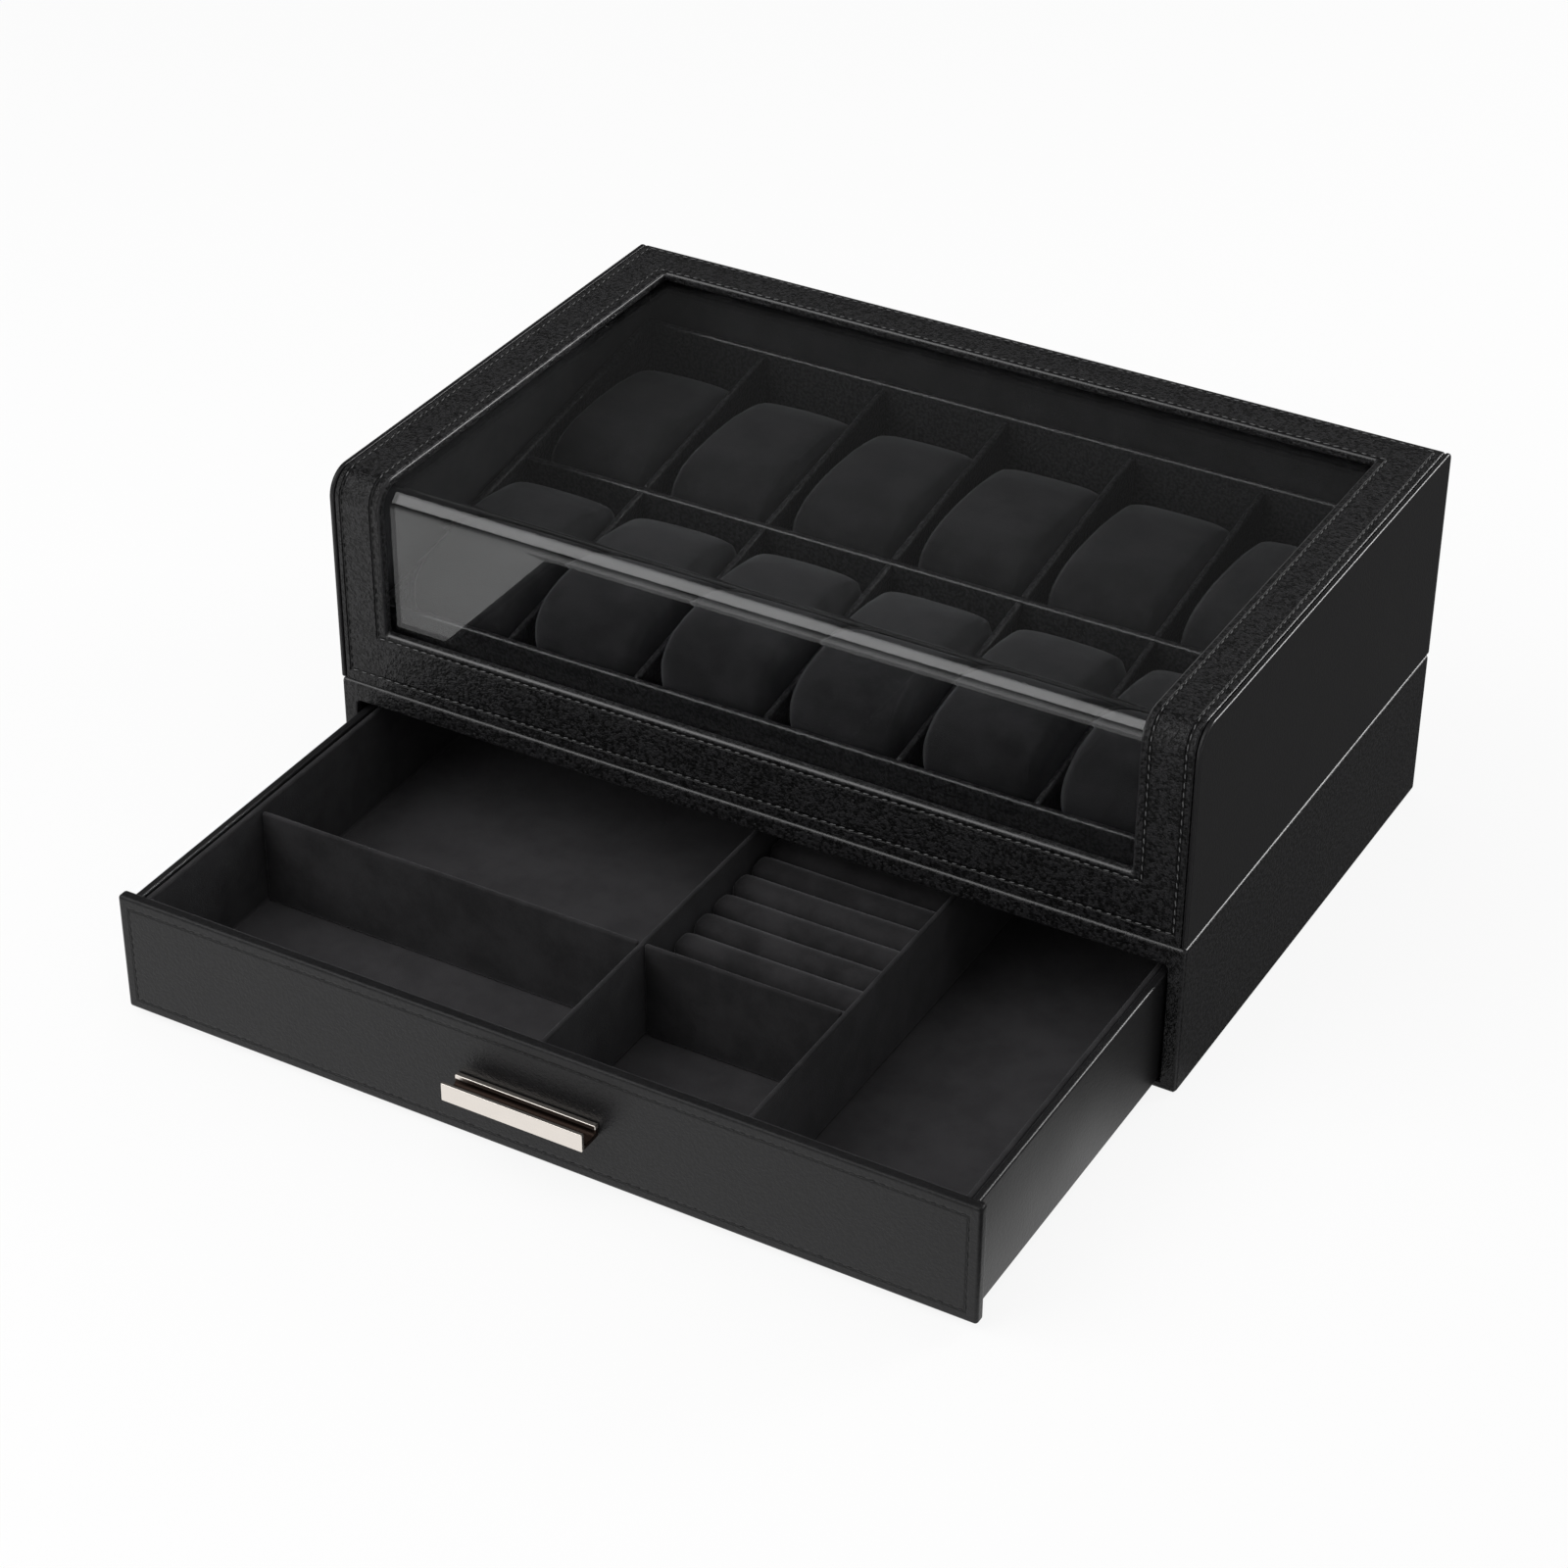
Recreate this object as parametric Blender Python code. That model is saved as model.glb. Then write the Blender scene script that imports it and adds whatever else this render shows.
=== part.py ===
"""Watch box with a windowed lid over a padded tray, and a divided drawer under it.

Metres, +Z up. The origin is the centre of the underside, +X runs to the right along the
front and +Y to the back. The lid is closed and the drawer stands open by DRAWER_OPENING.
"""

import math

import bmesh
import bpy
from mathutils import Vector

# Whole box
BOX_WIDTH = 0.330
BOX_DEPTH = 0.2088
CASE_HEIGHT = 0.059
LID_HEIGHT = 0.083
BOARD_THICKNESS = 0.006
BOARD_EDGE_RADIUS = 0.0012
SMALL_EDGE_RADIUS = 0.0005
SEAT_GAP = 0.0003
CUT_OVERRUN = 0.002

# Case
FELT_THICKNESS = 0.0008
FELT_INSET = 0.0015
BOTTOM_THICKNESS = 0.0024
DECK_THICKNESS = 0.008

# Tray and its dividers
TRAY_SIDE_INSET = 0.0093
TRAY_SIDE_THICKNESS = 0.0034
TRAY_END_THICKNESS = 0.0028
TRAY_FRONT_INSET = 0.0134
TRAY_REAR_INSET = 0.0129
TRAY_FRONT_HEIGHT = 0.0277
TRAY_REAR_HEIGHT = 0.0572
TRAY_FLOOR_FRONT_HEIGHT = 0.0054
TRAY_FLOOR_STEP = 0.005
ROW_DIVIDER_THICKNESS = 0.003
ROW_DIVIDER_OFFSET = 0.0005
SLOT_DIVIDER_THICKNESS = 0.0025
DIVIDER_DROP = 0.001
SLOTS_PER_ROW = 6

# Watch pillows
PILLOW_SIDE_CLEARANCE = 0.0009
PILLOW_END_CLEARANCE = 0.0022
PILLOW_HEIGHT = 0.040
PILLOW_SIDE_DRAW = 0.0055
PILLOW_ROUNDNESS = 2.8
PILLOW_OUTLINE_POINTS = 26
# Each pair is a share of the half width and a share of the side draw at that station
PILLOW_STATION_SHARES = ((1.0, 1.0), (0.955, 0.46), (0.85, 0.16), (0.55, 0.03), (0.0, 0.0))

# Lid
LID_FRAME_THICKNESS = 0.0035
LID_SKIN_THICKNESS = 0.0019
LID_FRONT_BEND_RADIUS = 0.010
LID_REAR_BEND_RADIUS = 0.0026
WINDOW_SIDE_MARGIN = 0.021
WINDOW_REAR_MARGIN = 0.0184
WINDOW_BAND_HEIGHT = 0.024
PANE_THICKNESS = 0.0025
PANE_BEND_RADIUS = 0.008
PANE_LAP = 0.008
LINING_THICKNESS = 0.0012
LINING_FOOT_GAP = 0.0005
LINING_TOP_GAP = 0.0065

# Hinges
HINGE_SIDE_INSET = 0.060
HINGE_WIDTH = 0.030
HINGE_LEAF_HEIGHT = 0.012
HINGE_LEAF_THICKNESS = 0.0012
KNUCKLE_RADIUS = 0.0024
KNUCKLES = 3
HINGE_PIN_RADIUS = 0.0012

# Drawer
DRAWER_OPENING = 0.1305
DRAWER_SIDE_CLEARANCE = 0.0008
DRAWER_TOP_CLEARANCE = 0.004
DRAWER_REAR_CLEARANCE = 0.003
DRAWER_WALL_THICKNESS = 0.003
DRAWER_BOTTOM_THICKNESS = 0.002
DRAWER_FRONT_THICKNESS = 0.0045
DRAWER_FRONT_LAP = 0.0023
DRAWER_FRONT_FOOT_GAP = 0.0014
DRAWER_FRONT_TOP_GAP = 0.0025
LINER_WALL_THICKNESS = 0.0023
LINER_FLOOR_THICKNESS = 0.0012
LINER_RIM_DROP = 0.001
DRAWER_DIVIDER_THICKNESS = 0.002
DRAWER_DIVIDER_DROP = 0.0015
FRONT_COMPARTMENT_DEPTH = 0.0608
LEFT_DIVIDER_SHARE = 0.502
RIGHT_DIVIDER_SHARE = 0.752

# Ring cushion
RING_CUSHION_HEIGHT = 0.0294
RING_ROLL_DEPTH = 0.007
RING_ROLLS = 10
RING_ROLL_POINTS = 8

# Pull on the drawer front and its screws
PULL_LENGTH = 0.053
PULL_REACH = 0.010
PULL_WALL_THICKNESS = 0.0015
PULL_FLANGE_THICKNESS = 0.002
PULL_FLANGE_HEIGHT = 0.0049
PULL_LIP_HEIGHT = 0.0068
PULL_BASE_HEIGHT = 0.0215
PULL_SCREW_SPACING = 0.036
SCREW_RADIUS = 0.0012
SCREW_HEAD_RADIUS = 0.0028
SCREW_HEAD_THICKNESS = 0.0014
SCREW_THREAD_DEPTH = 0.0011

ROUND_SEGMENTS = 24
BEND_STEPS = 6
EDGE_STEPS = 2
LEFT = -1
RIGHT = 1

# Places that several pieces share
HALF_WIDTH = BOX_WIDTH / 2
HALF_DEPTH = BOX_DEPTH / 2
INNER_HALF_WIDTH = HALF_WIDTH - BOARD_THICKNESS
FITTED_HALF_WIDTH = INNER_HALF_WIDTH - SEAT_GAP
BACK_WALL_FACE = HALF_DEPTH - BOARD_THICKNESS
CASE_FOOT = FELT_THICKNESS + SEAT_GAP
BAY_FLOOR = CASE_FOOT + BOTTOM_THICKNESS
BAY_CEILING = CASE_HEIGHT - DECK_THICKNESS
LID_FOOT = CASE_HEIGHT + SEAT_GAP
LID_TOP = CASE_HEIGHT + LID_HEIGHT
HINGE_AXIS_Y = HALF_DEPTH + SEAT_GAP + KNUCKLE_RADIUS + SEAT_GAP
HINGE_AXIS_Z = CASE_HEIGHT

TRAY_FOOT = CASE_HEIGHT + SEAT_GAP
TRAY_FRONT = -HALF_DEPTH + TRAY_FRONT_INSET
TRAY_REAR = HALF_DEPTH - TRAY_REAR_INSET
TRAY_HALF_WIDTH = HALF_WIDTH - TRAY_SIDE_INSET
TRAY_INNER_HALF_WIDTH = TRAY_HALF_WIDTH - TRAY_SIDE_THICKNESS
TRAY_INNER_FRONT = TRAY_FRONT + TRAY_END_THICKNESS
TRAY_INNER_REAR = TRAY_REAR - TRAY_END_THICKNESS
ROW_DIVIDER_FRONT = ROW_DIVIDER_OFFSET - ROW_DIVIDER_THICKNESS / 2
ROW_DIVIDER_REAR = ROW_DIVIDER_OFFSET + ROW_DIVIDER_THICKNESS / 2
FRONT_FLOOR_TOP = TRAY_FOOT + TRAY_FLOOR_FRONT_HEIGHT
REAR_FLOOR_TOP = FRONT_FLOOR_TOP + TRAY_FLOOR_STEP
SLOT_PITCH = (2 * TRAY_INNER_HALF_WIDTH + SLOT_DIVIDER_THICKNESS) / SLOTS_PER_ROW

FRAME_INNER_TOP = LID_TOP - LID_FRAME_THICKNESS
FRAME_INNER_FRONT = -HALF_DEPTH + LID_FRAME_THICKNESS
FRAME_HALF_WIDTH = HALF_WIDTH - LID_SKIN_THICKNESS - SEAT_GAP
WINDOW_HALF_WIDTH = HALF_WIDTH - WINDOW_SIDE_MARGIN
WINDOW_REAR = HALF_DEPTH - WINDOW_REAR_MARGIN
WINDOW_FOOT = CASE_HEIGHT + WINDOW_BAND_HEIGHT

DRAWER_FRONT_BACK = -HALF_DEPTH - SEAT_GAP - DRAWER_OPENING
DRAWER_FRONT_FACE = DRAWER_FRONT_BACK - DRAWER_FRONT_THICKNESS
DRAWER_BOX_FRONT = DRAWER_FRONT_BACK + SEAT_GAP
DRAWER_BOX_REAR = BACK_WALL_FACE - DRAWER_REAR_CLEARANCE - DRAWER_OPENING
DRAWER_HALF_WIDTH = INNER_HALF_WIDTH - DRAWER_SIDE_CLEARANCE
DRAWER_FOOT = BAY_FLOOR + SEAT_GAP
DRAWER_TOP = BAY_CEILING - DRAWER_TOP_CLEARANCE
DRAWER_INNER_HALF_WIDTH = DRAWER_HALF_WIDTH - DRAWER_WALL_THICKNESS - SEAT_GAP
DRAWER_INNER_REAR = DRAWER_BOX_REAR - DRAWER_WALL_THICKNESS - SEAT_GAP
LINER_FOOT = DRAWER_FOOT + DRAWER_BOTTOM_THICKNESS + SEAT_GAP
LINER_FLOOR = LINER_FOOT + LINER_FLOOR_THICKNESS
LINER_RIM = DRAWER_TOP - LINER_RIM_DROP
CELL_HALF_WIDTH = DRAWER_INNER_HALF_WIDTH - LINER_WALL_THICKNESS
CELL_FRONT = DRAWER_BOX_FRONT + LINER_WALL_THICKNESS
CELL_REAR = DRAWER_INNER_REAR - LINER_WALL_THICKNESS
DRAWER_DIVIDER_FOOT = LINER_FLOOR + SEAT_GAP
DRAWER_DIVIDER_TOP = LINER_RIM - DRAWER_DIVIDER_DROP
LEFT_DIVIDER_X = CELL_HALF_WIDTH * (2 * LEFT_DIVIDER_SHARE - 1)
RIGHT_DIVIDER_X = CELL_HALF_WIDTH * (2 * RIGHT_DIVIDER_SHARE - 1)
CROSS_DIVIDER_FRONT = CELL_FRONT + FRONT_COMPARTMENT_DEPTH
CROSS_DIVIDER_REAR = CROSS_DIVIDER_FRONT + DRAWER_DIVIDER_THICKNESS

PULL_FOOT = CASE_FOOT + PULL_BASE_HEIGHT
PULL_BACK = DRAWER_FRONT_FACE - SEAT_GAP
SCREW_HOLE_RADIUS = SCREW_RADIUS + SEAT_GAP
SCREW_SEAT = DRAWER_FRONT_BACK - SCREW_HEAD_THICKNESS - SEAT_GAP
SCREW_HEIGHT = PULL_FOOT + PULL_FLANGE_HEIGHT / 2


def clear_scene():
    """Removes every object that the file holds."""
    for obj in list(bpy.data.objects):
        bpy.data.objects.remove(obj)


def make_material(name, colour, roughness, metallic=0.0, alpha=1.0):
    """A Principled material with one even finish."""
    material = bpy.data.materials.new(name)
    material.use_nodes = True
    shader = material.node_tree.nodes["Principled BSDF"]
    shader.inputs["Base Color"].default_value = (*colour, 1.0)
    shader.inputs["Roughness"].default_value = roughness
    shader.inputs["Metallic"].default_value = metallic
    shader.inputs["Alpha"].default_value = alpha
    return material


def make_empty(name, location):
    """An empty that a moving group hangs from, placed on the joint's axis."""
    empty = bpy.data.objects.new(name, None)
    empty.location = location
    bpy.context.scene.collection.objects.link(empty)
    return empty


def arc(centre, radius, start, end, steps):
    """Points from one angle to another, in degrees, both ends included."""
    angles = [math.radians(start + (end - start) * step / steps) for step in range(steps + 1)]
    return [(centre[0] + radius * math.cos(a), centre[1] + radius * math.sin(a)) for a in angles]


def rectangle(low, high):
    """The four corners between two opposite corners."""
    return [(low[0], low[1]), (high[0], low[1]), (high[0], high[1]), (low[0], high[1])]


def in_space(axis, along, point):
    """A point of an outline, placed at a distance along the axis that it is extruded on."""
    first, second = point
    return {
        "X": Vector((along, first, second)),
        "Y": Vector((first, along, second)),
        "Z": Vector((first, second, along)),
    }[axis]


def finish_mesh(name, bm, material, parent, smooth_angle=None):
    """Makes a linked object from a bmesh, with its origin at the middle of its box."""
    bmesh.ops.recalc_face_normals(bm, faces=bm.faces)
    low = Vector([min(vert.co[i] for vert in bm.verts) for i in range(3)])
    high = Vector([max(vert.co[i] for vert in bm.verts) for i in range(3)])
    middle = (low + high) / 2
    bmesh.ops.translate(bm, verts=bm.verts, vec=-middle)
    mesh = bpy.data.meshes.new(name)
    bm.to_mesh(mesh)
    bm.free()
    mesh.materials.append(material)
    if smooth_angle is not None:
        mesh.shade_smooth()
        mesh.set_sharp_from_angle(angle=math.radians(smooth_angle))
    obj = bpy.data.objects.new(name, mesh)
    bpy.context.scene.collection.objects.link(obj)
    obj.parent = parent
    obj.location = middle - (parent.location if parent else Vector())
    return obj


def prism(name, outline, low, high, axis, material, parent=None, edge_radius=None):
    """An outline extruded along an axis. The outline's coordinates are the other two, in order."""
    bm = bmesh.new()
    face = bm.faces.new([bm.verts.new(in_space(axis, low, point)) for point in outline])
    grown = bmesh.ops.extrude_face_region(bm, geom=[face])
    moved = [item for item in grown["geom"] if isinstance(item, bmesh.types.BMVert)]
    bmesh.ops.translate(bm, verts=moved, vec=in_space(axis, high - low, (0, 0)))
    obj = finish_mesh(name, bm, material, parent)
    if edge_radius:
        round_edges(obj, edge_radius)
    return obj


def block(name, low, high, material, parent=None, edge_radius=None):
    """A box between two opposite corners."""
    outline = rectangle(low[1:], high[1:])
    return prism(name, outline, low[0], high[0], "X", material, parent, edge_radius)


def turned(name, profile, axis, centre, material, parent=None):
    """A solid of revolution. The profile holds a place along the axis and a radius for each step."""
    bm = bmesh.new()
    rings = []
    for along, radius in profile:
        circle = arc(centre, radius, 0, 360, ROUND_SEGMENTS)[:-1]
        rings.append([bm.verts.new(in_space(axis, along, point)) for point in circle])
    for first, second in zip(rings, rings[1:]):
        for i in range(ROUND_SEGMENTS):
            j = (i + 1) % ROUND_SEGMENTS
            bm.faces.new((first[i], first[j], second[j], second[i]))
    bm.faces.new(rings[0])
    bm.faces.new(rings[-1])
    return finish_mesh(name, bm, material, parent, smooth_angle=40)


def round_edges(obj, radius):
    """Rounds the sharp edges of an object."""
    bevel = obj.modifiers.new("Rounded edges", "BEVEL")
    bevel.width = radius
    bevel.segments = EDGE_STEPS
    bevel.limit_method = "ANGLE"


def cut(obj, cutter):
    """Takes the cutter's shape out of an object and hides the cutter."""
    boolean = obj.modifiers.new("Cut by " + cutter.name, "BOOLEAN")
    boolean.operation = "DIFFERENCE"
    boolean.object = cutter
    cutter.hide_render = True
    cutter.display_type = "WIRE"


def side_span(side, inner, outer):
    """The low and high x of a piece that lies between two distances from the middle."""
    return sorted((side * inner, side * outer))


def bent_strip(rear, front, foot, top, thickness, bend_radius):
    """The outline, in y and z, of a strip that runs forward along the top and down the front."""
    inner_radius = max(bend_radius - thickness, SEAT_GAP)
    outer_centre = (front + bend_radius, top - bend_radius)
    inner_centre = (front + thickness + inner_radius, top - thickness - inner_radius)
    outer = arc(outer_centre, bend_radius, 90, 180, BEND_STEPS)
    inner = arc(inner_centre, inner_radius, 180, 90, BEND_STEPS)
    return [(rear, top), *outer, (front, foot), (front + thickness, foot), *inner, (rear, top - thickness)]


def build_case(leather, felt):
    """The lower case: an open-fronted box whose top is the deck that the tray stands on."""
    block(
        "underside_felt",
        (-HALF_WIDTH + FELT_INSET, -HALF_DEPTH + FELT_INSET, 0),
        (HALF_WIDTH - FELT_INSET, HALF_DEPTH - FELT_INSET, FELT_THICKNESS),
        felt,
    )
    block(
        "bottom_panel",
        (-FITTED_HALF_WIDTH, -HALF_DEPTH, CASE_FOOT),
        (FITTED_HALF_WIDTH, BACK_WALL_FACE - SEAT_GAP, BAY_FLOOR),
        leather,
        edge_radius=SMALL_EDGE_RADIUS,
    )
    for name, side in (("case_left_wall", LEFT), ("case_right_wall", RIGHT)):
        low, high = side_span(side, INNER_HALF_WIDTH, HALF_WIDTH)
        block(
            name,
            (low, -HALF_DEPTH, CASE_FOOT),
            (high, HALF_DEPTH, CASE_HEIGHT),
            leather,
            edge_radius=BOARD_EDGE_RADIUS,
        )
    block(
        "case_back_wall",
        (-FITTED_HALF_WIDTH, BACK_WALL_FACE, CASE_FOOT),
        (FITTED_HALF_WIDTH, HALF_DEPTH, CASE_HEIGHT),
        leather,
        edge_radius=BOARD_EDGE_RADIUS,
    )
    block(
        "deck_panel",
        (-FITTED_HALF_WIDTH, -HALF_DEPTH, BAY_CEILING),
        (FITTED_HALF_WIDTH, BACK_WALL_FACE - SEAT_GAP, CASE_HEIGHT),
        leather,
        edge_radius=BOARD_EDGE_RADIUS,
    )


def tray_rim_height(y):
    """The height of the tray's sloping rim at a place from front to back."""
    share = (y - TRAY_FRONT) / (TRAY_REAR - TRAY_FRONT)
    return TRAY_FOOT + TRAY_FRONT_HEIGHT + share * (TRAY_REAR_HEIGHT - TRAY_FRONT_HEIGHT)


def divider_height(y):
    """The height of the tray's dividers, a little under the rim."""
    return tray_rim_height(y) - DIVIDER_DROP


def slot_divider_places():
    """The x of each divider between two slots."""
    return [(i - SLOTS_PER_ROW / 2) * SLOT_PITCH for i in range(1, SLOTS_PER_ROW)]


def build_tray(leather, velvet):
    """The tray that stands on the deck, with its sloping rim and its stepped floor."""
    half = TRAY_INNER_HALF_WIDTH - SEAT_GAP
    for name, side in (("tray_left_wall", LEFT), ("tray_right_wall", RIGHT)):
        low, high = side_span(side, TRAY_INNER_HALF_WIDTH, TRAY_HALF_WIDTH)
        outline = [
            (TRAY_FRONT, TRAY_FOOT),
            (TRAY_REAR, TRAY_FOOT),
            (TRAY_REAR, tray_rim_height(TRAY_REAR)),
            (TRAY_FRONT, tray_rim_height(TRAY_FRONT)),
        ]
        prism(name, outline, low, high, "X", leather, edge_radius=BOARD_EDGE_RADIUS)
    ends = (
        ("tray_front_wall", TRAY_FRONT, TRAY_INNER_FRONT, TRAY_FRONT),
        ("tray_back_wall", TRAY_INNER_REAR, TRAY_REAR, TRAY_REAR),
    )
    for name, front, rear, rim_place in ends:
        top = tray_rim_height(rim_place)
        block(name, (-half, front, TRAY_FOOT), (half, rear, top), leather, edge_radius=BOARD_EDGE_RADIUS)
    step = ROW_DIVIDER_REAR + SEAT_GAP
    floor_outline = [
        (TRAY_INNER_FRONT + SEAT_GAP, TRAY_FOOT),
        (TRAY_INNER_REAR - SEAT_GAP, TRAY_FOOT),
        (TRAY_INNER_REAR - SEAT_GAP, REAR_FLOOR_TOP),
        (step, REAR_FLOOR_TOP),
        (step, FRONT_FLOOR_TOP),
        (TRAY_INNER_FRONT + SEAT_GAP, FRONT_FLOOR_TOP),
    ]
    prism("tray_floor", floor_outline, -half, half, "X", velvet)


def build_tray_dividers(leather):
    """The row divider and the slot dividers, halved over each other."""
    half = TRAY_INNER_HALF_WIDTH - SEAT_GAP
    foot = FRONT_FLOOR_TOP + SEAT_GAP
    row_top = divider_height(ROW_DIVIDER_FRONT)
    halving = (foot + row_top) / 2
    slot_half = SLOT_DIVIDER_THICKNESS / 2

    comb = [(-half, foot)]
    for x in slot_divider_places():
        notch_low, notch_high = x - slot_half - SEAT_GAP, x + slot_half + SEAT_GAP
        comb += [(notch_low, foot), (notch_low, halving + SEAT_GAP)]
        comb += [(notch_high, halving + SEAT_GAP), (notch_high, foot)]
    comb += [(half, foot), (half, row_top), (-half, row_top)]
    prism(
        "row_divider", comb, ROW_DIVIDER_FRONT, ROW_DIVIDER_REAR, "Y", leather, edge_radius=SMALL_EDGE_RADIUS
    )

    front, rear = TRAY_INNER_FRONT + SEAT_GAP, TRAY_INNER_REAR - SEAT_GAP
    notch_front, notch_rear = ROW_DIVIDER_FRONT - SEAT_GAP, ROW_DIVIDER_REAR + SEAT_GAP
    rear_foot = REAR_FLOOR_TOP + SEAT_GAP
    outline = [
        (front, foot),
        (ROW_DIVIDER_REAR, foot),
        (ROW_DIVIDER_REAR, rear_foot),
        (rear, rear_foot),
        (rear, divider_height(rear)),
        (notch_rear, divider_height(notch_rear)),
        (notch_rear, halving),
        (notch_front, halving),
        (notch_front, divider_height(notch_front)),
        (front, divider_height(front)),
    ]
    for number, x in enumerate(slot_divider_places(), start=1):
        name = f"slot_divider_{number}"
        prism(name, outline, x - slot_half, x + slot_half, "X", leather, edge_radius=SMALL_EDGE_RADIUS)


def pillow_outline(length, height, draw):
    """A rounded oval in y and z, drawn in by an even distance."""
    points = []
    for i in range(PILLOW_OUTLINE_POINTS):
        angle = 2 * math.pi * i / PILLOW_OUTLINE_POINTS
        cosine, sine = math.cos(angle), math.sin(angle)
        y = (length / 2 - draw) * math.copysign(abs(cosine) ** (2 / PILLOW_ROUNDNESS), cosine)
        z = (height / 2 - draw) * math.copysign(abs(sine) ** (2 / PILLOW_ROUNDNESS), sine)
        points.append((y, z))
    return points


def pillow(name, centre, width, length, velvet):
    """A stuffed pillow: a crowned oval block whose ends are drawn in towards its side faces."""
    bm = bmesh.new()
    left = [(-place, draw) for place, draw in PILLOW_STATION_SHARES]
    right = [(place, draw) for place, draw in reversed(PILLOW_STATION_SHARES[:-1])]
    rings = []
    for place, draw in left + right:
        outline = pillow_outline(length, PILLOW_HEIGHT, draw * PILLOW_SIDE_DRAW)
        x = centre[0] + place * width / 2
        ring = [bm.verts.new((x, centre[1] + y, centre[2] + z)) for y, z in outline]
        rings.append(ring)
    for first, second in zip(rings, rings[1:]):
        for i in range(PILLOW_OUTLINE_POINTS):
            j = (i + 1) % PILLOW_OUTLINE_POINTS
            bm.faces.new((first[i], first[j], second[j], second[i]))
    bm.faces.new(rings[0])
    bm.faces.new(rings[-1])
    return finish_mesh(name, bm, velvet, None, smooth_angle=60)


def build_pillows(velvet):
    """A pillow in each slot, on the front and the rear part of the floor."""
    walls = [-TRAY_INNER_HALF_WIDTH, *slot_divider_places(), TRAY_INNER_HALF_WIDTH]
    outer_slot = walls[1] - SLOT_DIVIDER_THICKNESS / 2 - walls[0]
    width = outer_slot - 2 * PILLOW_SIDE_CLEARANCE
    rows = (
        ("front", TRAY_INNER_FRONT, ROW_DIVIDER_FRONT, FRONT_FLOOR_TOP),
        ("rear", ROW_DIVIDER_REAR, TRAY_INNER_REAR, REAR_FLOOR_TOP),
    )
    for row, front, rear, floor in rows:
        length = rear - front - 2 * PILLOW_END_CLEARANCE
        height = floor + SEAT_GAP + PILLOW_HEIGHT / 2
        for number in range(1, SLOTS_PER_ROW + 1):
            centre_x = (number - (SLOTS_PER_ROW + 1) / 2) * SLOT_PITCH
            centre = (centre_x, (front + rear) / 2, height)
            pillow(f"watch_pillow_{row}_{number}", centre, width, length, velvet)


def lid_side(name, side, leather, parent):
    """A side of the lid, with a rebate along its top and front edge that the frame sits in."""
    low, high = side_span(side, INNER_HALF_WIDTH, HALF_WIDTH)
    front_centre = (-HALF_DEPTH + LID_FRONT_BEND_RADIUS, LID_TOP - LID_FRONT_BEND_RADIUS)
    rear_centre = (HALF_DEPTH - LID_REAR_BEND_RADIUS, LID_TOP - LID_REAR_BEND_RADIUS)
    outline = [
        (-HALF_DEPTH, LID_FOOT),
        (HALF_DEPTH, LID_FOOT),
        *arc(rear_centre, LID_REAR_BEND_RADIUS, 0, 90, BEND_STEPS),
        *arc(front_centre, LID_FRONT_BEND_RADIUS, 90, 180, BEND_STEPS),
    ]
    panel = prism(name, outline, low, high, "X", leather, parent, BOARD_EDGE_RADIUS)
    rebate = bent_strip(
        HALF_DEPTH + CUT_OVERRUN,
        -HALF_DEPTH - CUT_OVERRUN,
        LID_FOOT - CUT_OVERRUN,
        LID_TOP + CUT_OVERRUN,
        LID_FRAME_THICKNESS + SEAT_GAP + CUT_OVERRUN,
        LID_FRONT_BEND_RADIUS + CUT_OVERRUN,
    )
    rebate_low, rebate_high = side_span(side, INNER_HALF_WIDTH - CUT_OVERRUN, HALF_WIDTH - LID_SKIN_THICKNESS)
    cut(panel, prism(name + "_rebate", rebate, rebate_low, rebate_high, "X", leather, parent))


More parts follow.
